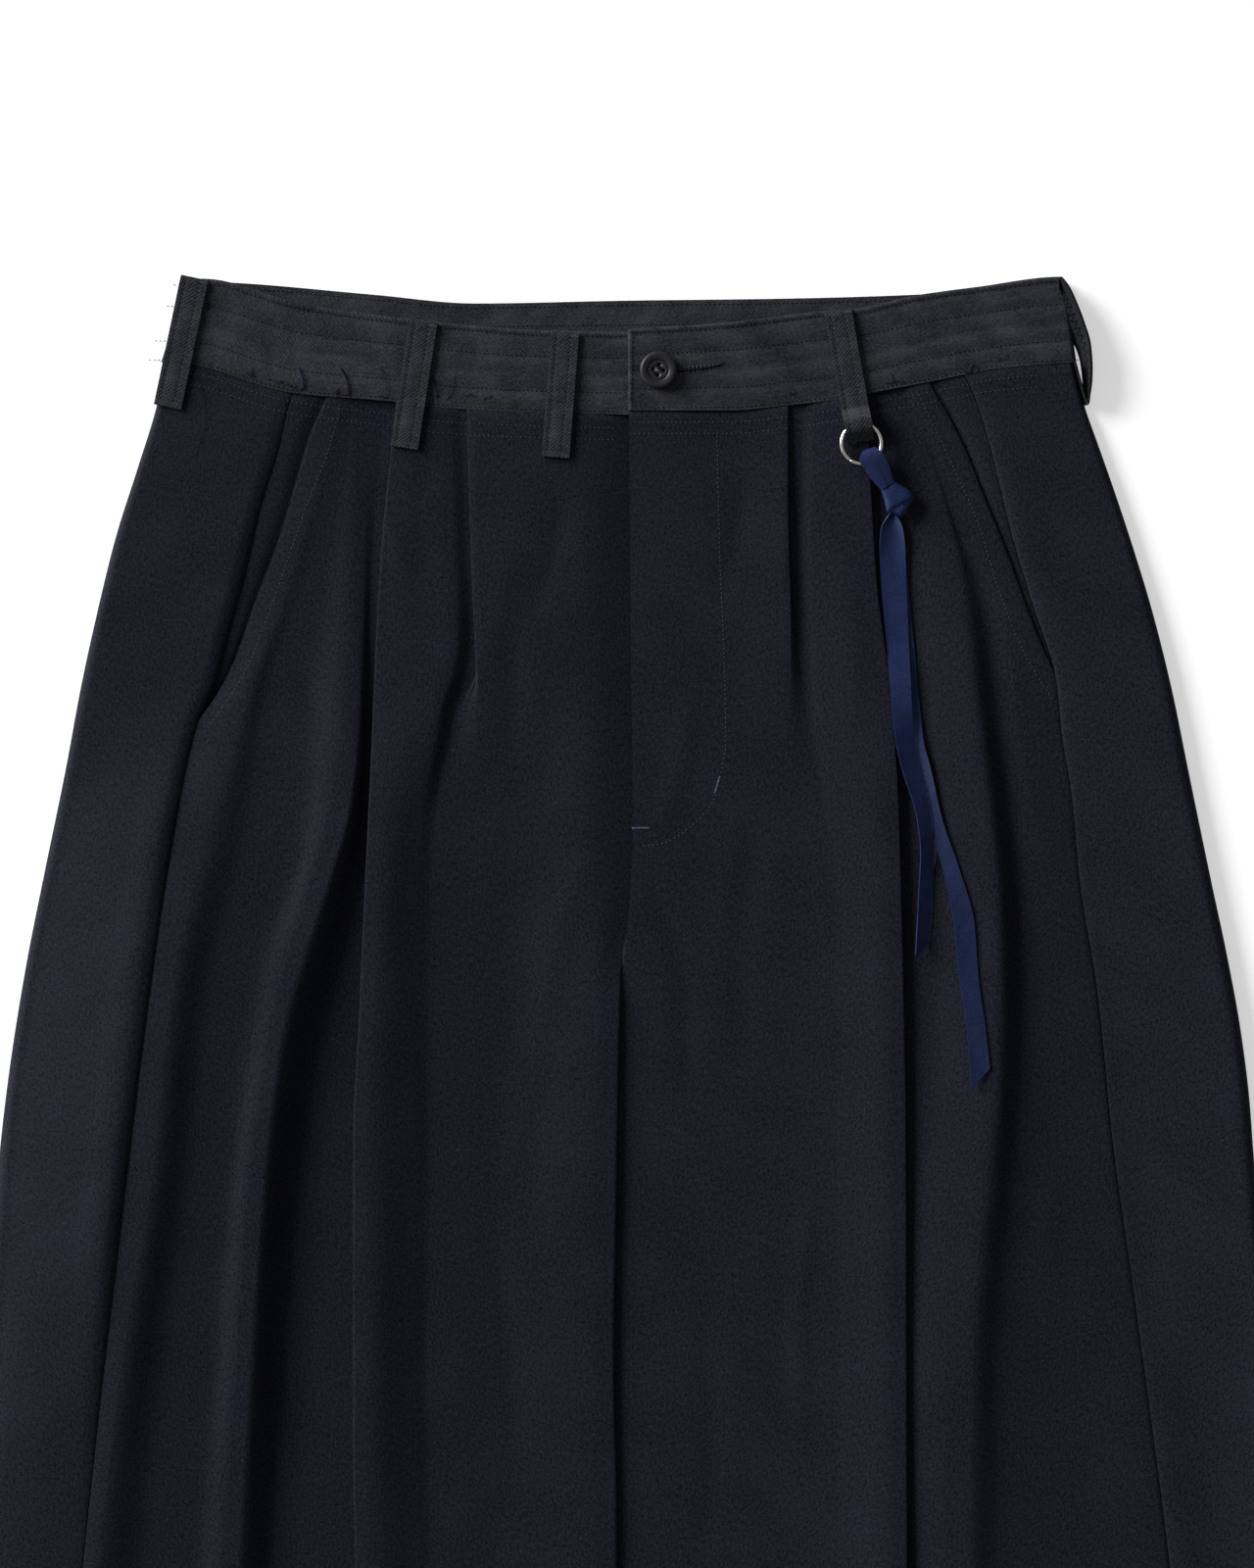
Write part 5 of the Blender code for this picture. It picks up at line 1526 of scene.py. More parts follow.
@dataclass
class BeltLoop:
    """A belt loop lying on the band: a turned strip with two lengthwise rows of stitches and a bar tack."""

    node: str
    top: Pair
    foot: Pair
    width: float = 12.6
    wall: float = 1.15
    rows_at: Pair = (0.19, 0.70)
    step: float = 0.9
    over: Curve | None = None
    tacks: tuple[float, ...] = (2.2,)
    air: float = 0.3
    top_turn: float = 1.3
    tack_pull: float = 0.28
    swells: ClassVar[tuple[Triple, ...]] = ((0.12, 0.05, 0.06), (0.06, 0.95, 0.06), (0.06, 0.44, 0.14))

    @property
    def length(self) -> float:
        """Its length from top to foot."""
        return math.dist(self.top, self.foot)

    def spot(self, across: float, along: float) -> Pair:
        """The place a share of the width across and a distance along, as (X, down)."""
        run = Vector((self.foot[0] - self.top[0], self.foot[1] - self.top[1])).normalized()
        side = Vector((run.y, -run.x))
        at = Vector(self.top) + run * along + side * (across - 0.5) * self.width
        return at.x, at.y

    def profile(self, across: float) -> float:
        """How the strip swells and dips across its width."""
        dips = sum(0.13 * bell(across, row, 0.03) for row in self.rows_at)
        return sum(rise * bell(across, middle, width) for rise, middle, width in self.swells) - dips

    def sheet(self, cover: Cover) -> Sheet:
        """The strip as a sheet of points."""
        stations = round(self.length / self.step)
        columns = 20
        bare = []
        for station in range(stations + 1):
            along = self.length * station / stations
            under = [cover.on(*self.spot(share, along)).z / MM for share in (0.0, 0.25, 0.5, 0.75, 1.0)]
            if self.over is not None:
                under.append(self.over(self.spot(0.5, along)[1]))
            bare.append(max(under))
        rows = []
        for station, height in enumerate(draped(bare, 2, 2)):
            along = self.length * station / stations
            end = self.top_turn * (1 - ease(along / 1.6))
            tacked = sum(bell(self.length - tack, along, 0.7) for tack in self.tacks)
            flatter = 1 - 0.6 * min(tacked, 1.0)
            points = []
            for column in range(columns + 1):
                across = column / columns
                lift = self.wall / 2 + self.air + self.profile(across) * flatter - self.tack_pull * tacked - end
                points.append(place(*self.spot(across, along), height + lift))
            rows.append(points)
        return Sheet(self.node, rows, self.wall)

    def build(self, cover: Cover, finishes: Finishes) -> Object:
        """Makes the loop with its stitches."""
        sheet = self.sheet(cover)
        slot = "charcoal_twill"
        made = sheet.state(sheet.build(finishes.twill), slot, Held.FOLDED, ["waistband"])
        own = Cover([made])
        sewing = Sewing(f"{self.node}_stitches", own, finishes.grey_thread, slot, radius=0.15)
        for across in self.rows_at:
            sewing.row([self.spot(across, 1.0), self.spot(across, self.length - 0.8)])
        sewing.finished()
        tacking = Sewing(f"{self.node}_tacks", own, finishes.pale_thread, slot, radius=0.14, pitch=1.15)
        for tack in self.tacks:
            along = self.length - tack
            tacking.row([self.spot(0.06, along), self.spot(0.94, along)], 0.2)
        tacking.finished()
        fray = Fray(f"{self.node}_fray", own, finishes.charcoal_fibre, slot, seed=len(self.node))
        end = [self.spot(0.02, self.length - 0.1), self.spot(0.98, self.length - 0.1)]
        fray.fringe(end, 46, (0.7, 2.0), (50, 130), 0.06)
        top = [self.spot(0.04, 0.3), self.spot(0.96, 0.3)]
        fray.fringe(top, 26, (0.6, 1.5), (200, 340), 0.06)
        fray.finished()
        return made


@dataclass
class StandingLoop:
    """The belt loop at the left side, which stands out beside the band and shows its zig-zagged inner face."""

    node: str = "belt_loop_side_left"
    wall: float = 1.1
    upper: tuple[Triple, ...] = ()
    lower: tuple[Triple, ...] = ()

    def point(self, along: float, across: float) -> Vector:
        """A point on the strip: along from 0 to 1, and across from its lower edge to its upper edge."""
        ends = []
        for edge in (self.lower, self.upper):
            last = len(edge) - 1
            ends.append([Curve(*[(i / last, at[axis]) for i, at in enumerate(edge)])(along) for axis in range(3)])
        low, high = ends
        bulge = 0.7 * math.sin(math.pi * across)
        x, down, height = (mix(a, b, across) for a, b in zip(low, high))
        return place(x + bulge, down, height - 0.3 * bulge)

    def build(self, finishes: Finishes) -> Object:
        """Makes the strip with its zig-zag."""
        stations = 70
        columns = 12
        rows = []
        for station in range(stations + 1):
            along = station / stations
            rows.append([self.point(along, column / columns) for column in range(columns + 1)])
        sheet = Sheet(self.node, rows, self.wall)
        # The inner face takes the darker twill copy, which is partly painted shade on top of the reverse's own tone.
        made = sheet.state(sheet.build(finishes.twill_inside), "charcoal_twill", Held.FOLDED, ["waistband"])
        zigzag = Mesher()
        off_face = Vector((-0.6, 0.0, 0.45)) * self.wall * MM
        count = 40
        corners = []
        for index in range(count + 1):
            across = 0.36 if index % 2 else 0.70
            corners.append(self.point(mix(0.30, 0.93, index / count), across) + off_face)
        for a, b in zip(corners, corners[1:]):
            zigzag.thread([a, a.lerp(b, 0.5), b], [0.13 * MM] * 3, 5)
        dress(zigzag.build(f"{self.node}_zigzag", finishes.dark_thread))
        return made


@dataclass
class Button:
    """The four-hole button: a rounded rim round a fine groove, with a shallow dish in the middle."""

    thick: float = 3.0
    hole_spread: float = 2.45
    hole_radius: float = 0.78
    hole_turn: float = -8.0
    profile: tuple[Pair, ...] = (
        (3.6, 2.15), (4.25, 2.22), (4.45, 2.05), (4.62, 2.02), (4.80, 2.10), (4.95, 2.50), (5.4, 2.66), (6.2, 2.86),
        (7, 2.98), (7.6, 2.90), (8.05, 2.62), (8.35, 2.18), (8.5, 1.6), (8.4, 1.05), (8, 0.55), (7.2, 0.2),
        (6.0, 0.02),
    )

    def build(self, finishes: Finishes) -> Object:
        """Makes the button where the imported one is, which it stands for."""
        low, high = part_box("button")
        centre = Vector(((low.x + high.x) / 2, (low.y + high.y) / 2, low.z))
        made = Mesher()
        rings = []
        for radius, height in self.profile:
            circle = [Vector((radius * math.cos(t), radius * math.sin(t), height)) for t in around(96)]
            rings.append([centre + point * MM for point in circle])
        made.tube(rings)
        button = made.build("button_resin", finishes.resin)
        for turn in range(4):
            self.drill(button, centre, math.radians(self.hole_turn + 90 * turn))
        dress(button)
        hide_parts("button")
        return button

    def drill(self, button: Object, centre: Vector, angle: float) -> None:
        """Cuts one hole through the button."""
        at = centre + Vector((math.cos(angle), math.sin(angle), 0.0)) * self.hole_spread * MM
        shape = bmesh.new()
        bmesh.ops.create_cone(
            shape, cap_ends=True, segments=32, radius1=self.hole_radius * MM, radius2=self.hole_radius * MM,
            depth=4 * self.thick * MM,
        )
        bmesh.ops.translate(shape, verts=shape.verts, vec=at)
        mesh = bpy.data.meshes.new("drill")
        shape.to_mesh(mesh)
        shape.free()
        cutter = put("drill", mesh)
        cut = button.modifiers.new("hole", "BOOLEAN")
        cut.operation = "DIFFERENCE"
        cut.object = cutter
        bpy.context.view_layer.objects.active = button
        bpy.ops.object.modifier_apply(modifier=cut.name)
        bpy.data.objects.remove(cutter)


@dataclass
class Ring:
    """The wire ring, bent round until its ends meet in a fine split."""

    wire: float = 0.88
    radius: float = 9.1
    split_at: float = -124.0
    split: float = 0.9

    def build(self, finishes: Finishes) -> Object:
        """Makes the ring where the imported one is, which it stands for."""
        low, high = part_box("ring")
        centre = (low + high) / 2
        made = Mesher()
        count = 120
        rings = []
        for step in range(count + 1):
            angle = math.radians(self.split_at + self.split + (360 - 2 * self.split) * step / count)
            outward = Vector((math.cos(angle), math.sin(angle), 0.0))
            wire = self.wire * (0.86 if step in (0, count) else 1.0)
            points = []
            for turn in around(16):
                reach = self.radius + wire * math.cos(turn)
                points.append(centre + outward * reach * MM + Vector((0, 0, wire * math.sin(turn) * MM)))
            rings.append(points)
        made.tube(rings)
        ring = made.build("ring_wire", finishes.wire)
        dress(ring, RING_BODY)
        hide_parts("ring")
        return ring


@dataclass(frozen=True)
class TailShape:
    """A ribbon tail as seen from above: the X of its left and right edges by distance down, and its slanted end."""

    node: str
    left: Curve
    right: Curve
    start: float
    end_left: float
    end_right: float
    trough: float
    lean: Curve


@dataclass
class Ribbon:
    """The ribbon tied to the ring: a loop over the wire, a knot and two tails lying over the folds."""

    finishes: Finishes
    wall: float = 0.55
    air: float = 0.12
    knot_half: float = 2.1

    def tail(self, shape: TailShape, cover: Cover) -> Object:
        """Makes one tail on what lies under it."""
        stations = round((shape.end_left - shape.start) / 2.0)
        columns = 10
        places = []
        for station in range(stations + 1):
            along = station / stations
            row = []
            for column in range(columns + 1):
                across = column / columns
                down = mix(shape.start, mix(shape.end_left, shape.end_right, across), along)
                row.append((mix(shape.left(down), shape.right(down), across), down))
            places.append(row)
        bare = [max(cover.on(*at).z for at in row) / MM for row in places]
        rows = []
        for row, height in zip(places, draped(bare, 3, 4)):
            points = []
            for column, (x, down) in enumerate(row):
                across = 2 * column / columns - 1
                trough = shape.trough * across * across * (1 - ease((down - shape.start) / 34))
                lean = shape.lean(down)
                curl = 0.18 * math.sin(down * 0.09) * across * across
                lift = trough + abs(lean) + lean * across + max(curl, 0.0)
                points.append(place(x, down, height + self.wall / 2 + self.air + lift))
            rows.append(points)
        sheet = Sheet(shape.node, rows, self.wall)
        return sheet.state(sheet.build(self.finishes.ribbon), "blue_ribbon", Held.LAID, ["front_left"])

    def loop(self, left: Sequence[Pair], right: Sequence[Pair], tied: Object) -> Object:
        """Makes the fold of ribbon over the ring's wire.

        Args:
            left: its left edge from inside the ring to the knot, as (X, down).
            right: its right edge.
            tied: the knot that holds it.

        Returns:
            The piece.
        """
        low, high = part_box("ring")
        knot_low, knot_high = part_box("ribbon_knot")
        wire = (low.z + high.z) / 2 / MM
        knot = (knot_low.z + knot_high.z) / 2 / MM
        left_edge = Track(left)
        right_edge = Track(right)
        above = Curve((0.0, wire), (0.10, wire + 1.05), (0.24, wire + 1.35), (0.45, wire + 0.9), (1.0, knot + 0.9))
        below = Curve((0.0, wire), (0.10, wire - 1.05), (0.24, wire - 1.35), (0.45, wire - 1.4), (1.0, knot - 0.9))
        stations = 30
        columns = 10
        shares = [(1 - step / stations, below) for step in range(stations)]
        shares += [(step / stations, above) for step in range(stations + 1)]
        rows = []
        for share, height in shares:
            a = left_edge.share(share)
            b = right_edge.share(share)
            points = []
            for column in range(columns + 1):
                across = column / columns
                crown = 0.55 * math.sin(math.pi * across) * ease(share * 1.6) if height is above else 0.0
                dip = 0.35 * bell(across, 0.62, 0.1) * ease((share - 0.45) / 0.5)
                points.append(place(mix(a[0], b[0], across), mix(a[1], b[1], across), height(share) + crown - dip))
            rows.append(points)
        sheet = Sheet("ribbon_loop", rows, self.wall)
        made = sheet.build(self.finishes.ribbon)
        return sheet.state(made, "blue_ribbon", Held.FOLDED, ["ring"], [tied])

    def knot(self, outline: Sequence[Pair], folds: Sequence[Crease], cover: Cover) -> Object:
        """Makes the knot: a flattened lump with the turns of the ribbon pressed into it.

        Args:
            outline: its corners as seen from above, as (X, down).
            folds: the lines of its turns.
            cover: what it lies on.

        Returns:
            The piece.
        """
        track = Track([*outline, outline[0]])
        middle_x = sum(x for x, _ in outline) / len(outline)
        middle_down = sum(down for _, down in outline) / len(outline)
        bed = max(cover.on(*corner).z for corner in outline) / MM
        sides = 72
        rings = 14
        grid = []
        for ring in range(rings + 1):
            reach = math.sin(math.pi / 2 * ring / rings)
            row = []
            for side in range(sides):
                x, down = track.share(side / sides)
                at_x = mix(middle_x, x, reach)
                at_down = mix(middle_down, down, reach)
                crown = (1 - reach ** 3.2) ** 0.5 if ring < rings else 0.0
                pressed = sum(fold.lift(at_x, at_down) for fold in folds) * crown
                row.append((at_x, at_down, crown, pressed))
            grid.append(row)
        made = Mesher()
        waist = bed + 2.4
        top = [[place(x, d, waist + self.knot_half * c + p) for x, d, c, p in row] for row in grid]
        bottom = [[place(x, d, waist - self.knot_half * c) for x, d, c, _ in row] for row in grid[:-1]]
        made.tube([*bottom[1:], *reversed(top[1:])])
        knot = made.build("ribbon_knot_cloth", self.finishes.ribbon)
        points = [vertex.co for vertex in knot.data.vertices]
        map_cloth(knot, [(at.x * 0.9 - at.y * 0.44, at.x * 0.44 + at.y * 0.9) for at in points])
        dress(knot)
        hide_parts("ribbon_knot")
        return knot


@dataclass
class Buttonhole:
    """The buttonhole beside the button: a slit between two rows of close stitches that meet at its end."""

    slit: tuple[Pair, ...]
    spread: Curve
    end: Pair

    def build(self, cover: Cover, finishes: Finishes) -> None:
        """Makes the slit, darkened with painted shade, and its stitches on the band."""
        track = Track(self.slit)
        slot = "charcoal_twill"
        pale = Sewing("buttonhole_stitches", cover, finishes.bar_thread, slot, radius=0.12, seed=3)
        dark = Sewing("buttonhole_ground", cover, finishes.dark_thread, slot, radius=0.16, seed=4)
        count = 34
        for index in range(count):
            share = (index + 0.5) / count
            x, down = track.share(share)
            half = self.spread(share)
            shift = 0.12 * math.sin(index * 2.4)
            above = (x - 0.15, down - half - shift)
            below = (x + 0.20, down + half * 0.8 + shift)
            sewing = dark if index % 3 == 2 else pale
            sewing.stitch((x, down - 0.34), above)
            sewing.stitch((x, down + 0.34), below)
        # The dark stitch row and the thick dark thread along the slit are painted shade for the open cut.
        dark.row([track.share(0.0), track.share(0.5), track.share(1.0)], 0.0)
        slit = Fray("buttonhole_slit", cover, finishes.dark_thread, slot)
        slit.thread([track.share(0.0), track.share(0.3), track.share(0.6), track.share(1.0)], 0.32, 0.0)
        slit.thread([track.share(0.96), self.end], 0.20, 0.3)
        half = self.spread(0.4) * 1.1
        for _ in range(26):
            x, down = track.share(slit.chance.random())
            slit.fibre(x, down + slit.chance.uniform(-half, half), slit.chance.uniform(0, 360), 0.9, 0.05)
        pale.finished()
        dark.finished()
        slit.finished()


TUFTS = (
    ((-148.4, 51.4), (-148.2, 46), (-150.2, 41.4), 7),
    ((-127.1, 53.6), (-127.9, 47.5), (-131, 41.2), 8),
    ((-132.3, 53.2), (-132.9, 51.6), (-131.9, 50.6), 6),
    ((-86.6, 55.2), (-88, 49.8), (-89.4, 45.2), 1),
    ((-65.9, 55.8), (-63.9, 54.5), (-61.4, 54.3), 3),
    ((-171.5, 45), (-171, 42.6), (-172.2, 40.6), 4),
    ((119.8, 48.9), (121, 46.2), (120.2, 43.4), 3),
    ((156.6, 44.1), (156.2, 41.6), (157.9, 39.4), 4),
)


@dataclass
class Details:
    """Sewing, threads and trim set down on the made cloth."""

    finishes: Finishes
    band: Object
    fronts: Sequence[Object]
    cloth: Sequence[Object]

    def build(self) -> None:
        """Makes everything that lies on the cloth."""
        navy = Cover(self.cloth)
        band = Cover([self.band])
        self.sew_navy(navy)
        self.sew_band(band)
        Buttonhole(
            slit=((21.9, 43.2), (26.8, 42.7), (32.2, 42), (37.5, 41.4), (42.9, 39.9)),
            spread=curve(0, 1.9, 0.5, 2, 0.75, 1.5, 1, 0.7),
            end=(44.5, 39.0),
        ).build(band, self.finishes)
        everything = Cover([*self.cloth, self.band])
        self.fray_waist(everything)
        self.hang_loops(everything)
        self.tie_ribbon(navy)

    def sew_navy(self, cover: Cover) -> None:
        """Rows of stitches on the navy cloth: under the band, along the pockets and round the fly."""
        # The navy thread's lighter colour is partly a painted highlight on the stitches.
        sewing = Sewing("navy_stitches", cover, self.finishes.navy_thread, "navy_gabardine", radius=0.16, share=0.38)
        upper = curve(-205, 3.8, -160, 3.9, -125, 5.4, -95, 6.3, -5, 6.2, 5, 5.4, 72, 5.2, 110, 4.6, 190, 4.9)
        lower = curve(-205, 9.1, -160, 9.2, -125, 10.6, -95, 11.6, -5, 11.5, 5, 10.5, 72, 10.4, 110, 9.2, 190, 10.2)
        for offset in (upper, lower):
            for side, start, end in ((RIGHT, -204.0, -3.0), (LEFT, 3.0, 191.0)):
                across = [*steps(start, end, max(3, round((end - start) / 12))), end]
                sewing.row([(x, BAND_FOOT[side](x) + offset(x)) for x in across])
        for row in (
            ((-131, 59.5), (-135.9, 77.8), (-144.8, 100.6), (-152.9, 123.4), (-164, 155.1), (-175.7, 182.8),
             (-185.1, 197.1), (-194.0, 210.1)),
            ((133.2, 53.2), (136.3, 60.3), (143, 73.3), (151.5, 92.1), (158.2, 106.4), (171.2, 146.6),
             (181.9, 172.1), (195.8, 194.9)),
            ((41.1, 72), (42.5, 129.6), (44.3, 170.8), (45.1, 211.9), (42.5, 227.5), (39.8, 237.8),
             (29.9, 249.9), (15.2, 258.4), (3.6, 259.7)),
        ):
            sewing.row(row)
        sewing.finished()
        tacks = Sewing("bar_tacks", cover, self.finishes.bar_thread, "navy_gabardine", radius=0.16)
        tacks.bar((42.5, 227.5), (40.2, 235.1), 1.1, 13)
        tacks.bar((2.2, 251.2), (10.3, 251.2), 1.1, 13)
        tacks.finished()

    def sew_band(self, cover: Cover) -> None:
        """Rows of stitches that quilt the band, on its outside and on the inside of its back."""
        sewing = Sewing(
            "band_stitches", cover, self.finishes.dark_thread, "charcoal_twill", radius=0.22, share=0.42, seed=21
        )
        for share in Waistband.sewn_shares:
            for side, start, end in ((RIGHT, -207.0, -0.5), (LEFT, 3.2, 203.0)):
                outs = [mix(start, end, step / 35) for step in range(36)]
                sewing.row([Waistband.point_on(out, side, 0.0, share) for out in outs])
        for share in (0.06, 0.31):
            shown = []
            for step in range(60):
                out = mix(-185, 150, step / 59)
                side = RIGHT if out < 0 else LEFT
                x, down = Waistband.point_on(out, side, 1.0, share)
                if down < BAND_TOP[side](x) - 0.6:
                    shown.append((x, down))
                elif len(shown) > 2:
                    sewing.row(shown)
                    shown = []
            if len(shown) > 2:
                sewing.row(shown)
        sewing.row(((2.9, 26.8), (2.5, 42.5), (1.4, 58.6)))
        sewing.finished()

    def fray_waist(self, cover: Cover) -> None:
        """The raw lower edge of the band: fibres all along it, and the loose navy threads."""
        fray = Fray("band_fray", cover, self.finishes.charcoal_fibre, "charcoal_twill", seed=31)
        navy = Fray("waist_threads", cover, self.finishes.loose_thread, "navy_gabardine", seed=41)
        for side, start, end in ((RIGHT, -208.0, -1.0), (LEFT, 1.5, 203.0)):
            across = [mix(start, end, step / 40) for step in range(41)]
            edge = [(x, BAND_FOOT[side](x) - 0.1) for x in across]
            fray.fringe(edge, 420, (0.5, 1.6), (40, 140), 0.05)
            navy.fringe(edge, 90, (0.6, 2.4), (10, 170), 0.055)
        for start, end, count in (
            ((-173.9, 43.8), (-169.9, 45.6), 26), ((-163.6, 46.5), (-151.1, 50.5), 46),
            ((-133.7, 52.7), (-126.5, 54.5), 34), ((-74.2, 54.1), (-68.8, 54.5), 18),
            ((74.2, 54.1), (78.7, 53.2), 16), ((117.6, 48.7), (127.8, 47.8), 26),
            ((154.2, 43.8), (160.9, 42.9), 22), ((-113.5, 54.1), (-109.1, 55), 14),
        ):
            navy.fringe((start, end), count, (0.8, 3.0), (150, 390), 0.06)
        self.stand_tufts(cover)
        for places, lift in (
            (((-149.7, 40.7), (-148, 44.3), (-147.1, 47.8), (-147.1, 51.4)), 0.6),
            (((-131.4, 40.7), (-129.6, 43.4), (-127.8, 47.4), (-126.9, 51), (-126.5, 54.5)), 0.8),
            (((-112.2, 40.7), (-111.3, 45.1), (-110, 49.6), (-110, 53.6), (-111.3, 56.3)), 0.8),
            (((-89, 44.7), (-88.1, 47.8), (-86.7, 51.4), (-86.7, 55.4)), 0.7),
            (((-78.7, 45.1), (-79.1, 48.3), (-80.5, 51.9), (-81.8, 55.4)), 0.6),
            (((-92.1, 51.9), (-89.8, 54.1), (-89.4, 57.2), (-91.2, 59.9), (-90.3, 62.6)), 0.5),
            (((170.3, 38.4), (169, 36.2), (171.6, 37.1), (173.9, 34.9)), 0.6),
            (((193.1, 37.1), (194.9, 39.3), (195.8, 42)), 0.4),
        ):
            navy.thread(places, 0.14, lift)
        navy.thread(
            ((-196.2, 44.3), (-194.9, 47.4), (-194, 51.4), (-193.1, 55.4), (-192.9, 59.5), (-192.2, 63.5),
             (-192.7, 67.9), (-194.4, 71.5), (-195.3, 75.1), (-195.8, 78.7), (-197.6, 82.2)), 0.07, 0.4,
        )
        fray.finished()
        navy.finished()

    def hang_loops(self, cover: Cover) -> None:
        """The belt loops with their stitches."""
        _, ring_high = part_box("ring")
        top = ring_high.z / MM
        over_ring = Curve(
            (62.0, 0.0), (65.0, top - 0.3), (66.6, top + 0.45), (68.4, top + 0.1), (70.6, top - 2.0), (73.0, 0.0)
        )
        for loop in (
            BeltLoop("belt_loop_side_right", (-197.3, 0.4), (-209.6, 59.2)),
            BeltLoop("belt_loop_front_right", (-92.8, 20.3), (-101.6, 77.9)),
            BeltLoop("belt_loop_fly_right", (-28.2, 25.3), (-32.6, 82.2)),
            BeltLoop("belt_loop_ring", (96.1, 15.4), (106.6, 74.9), over=over_ring, tacks=(2.3, 11)),
        ):
            loop.build(cover, self.finishes)
        StandingLoop(
            upper=(
                (204.1, 38.4, 6.5), (206.5, 47.4, 6.2), (208.7, 55, 6), (210.1, 57.4, 6.6),
                (210.8, 53.2, 8.2), (211.5, 46.9, 9.2), (211.6, 41.3, 9.6),
                (210.8, 30.9, 9.9), (208.1, 21.2, 9.6), (204.9, 12.5, 9.2),
                (200.9, 4, 8.6), (197.6, 0.1, 7.6), (196.5, 1.8, 6.6), (196.7, 5.4, 6.2),
            ),
            lower=(
                (203.4, 38.4, 0.8), (206.1, 47.4, 0.8), (208.3, 55.4, 0.8), (209.3, 57.7, 0.8),
                (209, 53.2, 0.8), (208.5, 46.9, 0.8), (207.7, 39.8, 0.8),
                (205.9, 33.1, 0.9), (202.7, 27.1, 1), (199.4, 20.7, 1),
                (197.5, 13, 1), (197.4, 8.9, 1.2), (197.8, 8.5, 3.4), (198.5, 8.9, 3.8),
            ),
        ).build(self.finishes)

    def stand_tufts(self, cover: Cover) -> None:
        """Bundles of violet warp ends that stand up from the band's foot."""
        violet = Fray("violet_tufts", cover, self.finishes.violet_thread, "navy_gabardine", seed=53)
        for foot, middle, tip, strands in TUFTS:
            for strand in range(strands):
                sway = violet.chance.uniform(-0.8, 0.8) if strand else 0.0
                end = (tip[0] + 0.8 * sway, tip[1] + violet.chance.uniform(-0.6, 2.4) * min(strand, 1))
                violet.thread([(foot[0] + sway, foot[1]), (middle[0] + 0.4 * sway, middle[1]), end], 0.12, 0.4)
        violet.finished()

    def tie_ribbon(self, navy: Cover) -> None:
        """The ring and the ribbon tied to it."""
        Button().build(self.finishes)
        Ring().build(self.finishes)
        ribbon = Ribbon(self.finishes)
        long_tail = ribbon.tail(
            TailShape(
                "ribbon_tail_long",
                curve(107.7, 121.4, 123.8, 117.6, 141.7, 118, 169.9, 121.1, 191.3, 124.7, 212.1, 128.3, 222.2, 132.3,
                      246.3, 137.2, 270, 143.9, 294.1, 148.9, 318.3, 151.1, 342, 154.7, 370.1, 156.9),
                curve(107.7, 122.5, 123.8, 126.9, 136.3, 128.1, 153.3, 129.5, 169.9, 131.2, 191.3, 133.2, 212.1, 135.4,
                      222.2, 138.1, 246.3, 143.5, 270, 151.5, 294.1, 158.2, 318.3, 160, 342, 163.2, 361.2, 165.4),
                107.7, 370.1, 360.7, 0.0,
                curve(107, 0, 185, 0, 215, 0.5, 262, 0.1, 285, -0.5, 370, -0.6),
            ), navy,
        )
        short_tail = ribbon.tail(
            TailShape(
                "ribbon_tail_short",
                curve(107.3, 120.2, 110.4, 118, 113.5, 116.2, 122, 115.3, 137.2, 115.8, 159.1, 117.6, 180.6, 119.3,
                      212.1, 122.5, 222.2, 124.7, 246.3, 131.9, 262.8, 133.7, 282.1, 132.8, 309.8, 131.4),
                curve(107.3, 122.5, 110.4, 124.3, 113.5, 125.6, 122, 126.9, 137.2, 127.4, 159.1, 128.3, 180.6, 129.2,
                      212.1, 131, 222.2, 132.8, 246.3, 138.6, 262.8, 139.9, 282.1, 139.5, 304.9, 137.2),
                107.3, 309.8, 304.4, 1.6,
                curve(107, 0, 185, 0, 212, -1.3, 262, -1.6, 310, -1.7),
            ), Cover([*self.fronts, long_tail]),
        )
        knot = ribbon.knot(
            ((115.5, 96.3), (118, 94.1), (120.9, 92.3), (124.7, 94.8), (129.6, 98.3), (130.7, 100.6),
             (128.7, 104.6), (125.4, 109.1), (121.6, 107.7), (118.9, 107.3), (117.3, 101.5)),
            [
                crease(0.3, -1.1, 131, 100.8, 125.2, 103.5, 118.9, 106.8),
                crease(0.28, -0.8, 131.4, 101.7, 125.6, 104.6, 119.8, 107.7),
                crease(0.45, -0.8, 114.4, 97, 117.6, 95.4, 120.7, 93.4),
            ], Cover([*self.fronts, long_tail, short_tail]),
        )
        ribbon.loop(
            ((107.5, 79.6), (105.9, 83.4), (108.8, 88.8), (113.2, 94.2), (116.2, 97.2)),
            ((113.1, 77.7), (115.9, 80.1), (118.6, 84.5), (120.2, 88.8), (121.4, 93.6)), knot,
        )


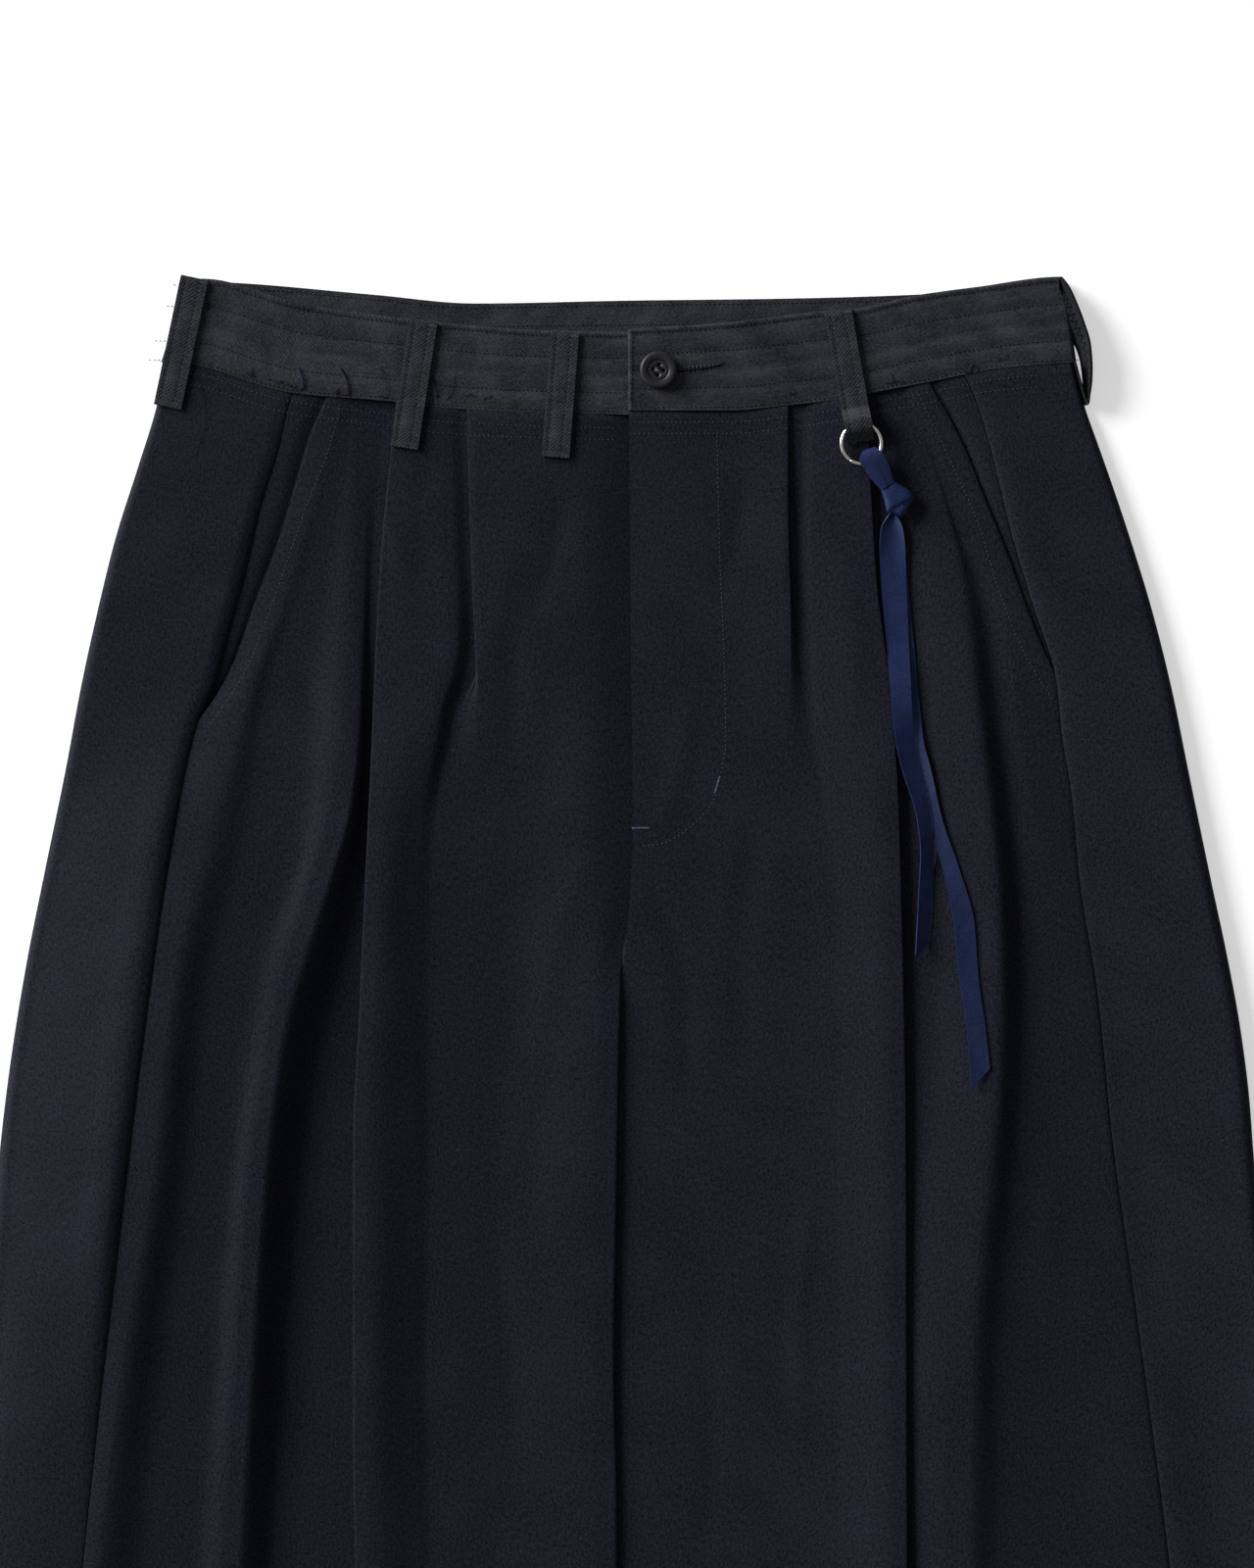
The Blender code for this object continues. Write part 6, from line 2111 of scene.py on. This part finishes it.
class Studio:
    """The pale floor, the soft light and the camera straight above."""

    CAMERA_DOWN = 231.1
    VIEW_TALL = 715.2
    LENS = 120.0
    SENSOR = 36.0
    CLOTH_HEIGHT = 5.0
    FLOOR_WHITE = 0.6
    FLOOR_GLOW = 0.5
    KEY_FROM = (-1.0, 0.55, 0.34)
    KEY_POWER = 8.8
    KEY_SPREAD = 34.0
    SIDE_FROM = (-1.05, 0.30, 0.42)
    SIDE_POWER = 1.5
    SIDE_SIZE = 0.7
    ROOM_LIGHT = 0.26

    def build(self) -> None:
        """Sets the whole stage."""
        self.camera()
        self.floor()
        self.lights()
        self.surroundings()

    def camera(self) -> None:
        """A long lens straight above the front of the waist."""
        lens = bpy.data.cameras.new("camera")
        lens.lens = self.LENS
        lens.sensor_width = self.SENSOR
        camera = put("camera", lens)
        distance = self.VIEW_TALL * self.LENS / self.SENSOR + self.CLOTH_HEIGHT
        camera.location = place(0.0, self.CAMERA_DOWN, distance)
        lens.clip_end = 20.0
        bpy.context.scene.camera = camera
        bpy.context.scene.view_settings.view_transform = "Standard"

    def floor(self) -> None:
        """A plain pale floor."""
        half = 6.0
        made = Mesher()
        made.ring([Vector((x * half, y * half, -0.0004)) for x, y in ((-1, -1), (1, -1), (1, 1), (-1, 1))])
        made.faces.append((0, 1, 2, 3))
        shader = Shader("white_floor")
        shader.set(
            specular_ior_level=0.1, base_color=(*[self.FLOOR_WHITE] * 3, 1.0), roughness=0.9,
            emission_color=(1.0, 1.0, 1.0, 1.0), emission_strength=self.FLOOR_GLOW,
        )
        made.build("floor", shader.finish())

    def lights(self) -> None:
        """Broad soft light from the upper left, low enough to model the folds, and a cool lamp beside it."""
        key = bpy.data.lights.new("key_light", "SUN")
        key.energy = self.KEY_POWER
        key.angle = math.radians(self.KEY_SPREAD)
        near = bpy.data.lights.new("side_light", "AREA")
        near.energy = self.SIDE_POWER
        near.size = self.SIDE_SIZE
        near.color = (0.84, 0.91, 1.0)
        for lamp, start in ((key, self.KEY_FROM), (near, self.SIDE_FROM)):
            made = put(lamp.name, lamp)
            made.location = start
            made.rotation_euler = Vector(start).to_track_quat("Z", "Y").to_euler()

    def surroundings(self) -> None:
        """White light from all round."""
        world = bpy.data.worlds.new("white_room")
        world.use_nodes = True
        background = world.node_tree.nodes["Background"]
        background.inputs["Color"].default_value = (1.0, 1.0, 1.0, 1.0)
        background.inputs["Strength"].default_value = self.ROOM_LIGHT
        bpy.context.scene.world = world


def main() -> None:
    """Builds the slacks and their stage, piece by piece."""
    logging.basicConfig(level=logging.INFO, format="%(name)s: %(message)s")
    Studio().build()
    finishes = Finishes()
    cloth = []
    fronts = []
    for side in Side:
        cloth.append(BackPanel(side, finishes).build())
        fronts.append(FrontPanel(side, finishes).build())
        cloth.append(PocketFacing(side, finishes).build())
    cloth += fronts
    band = Waistband(finishes).build()
    Details(finishes, band, fronts, cloth).build()


if __name__ == "__main__":
    main()
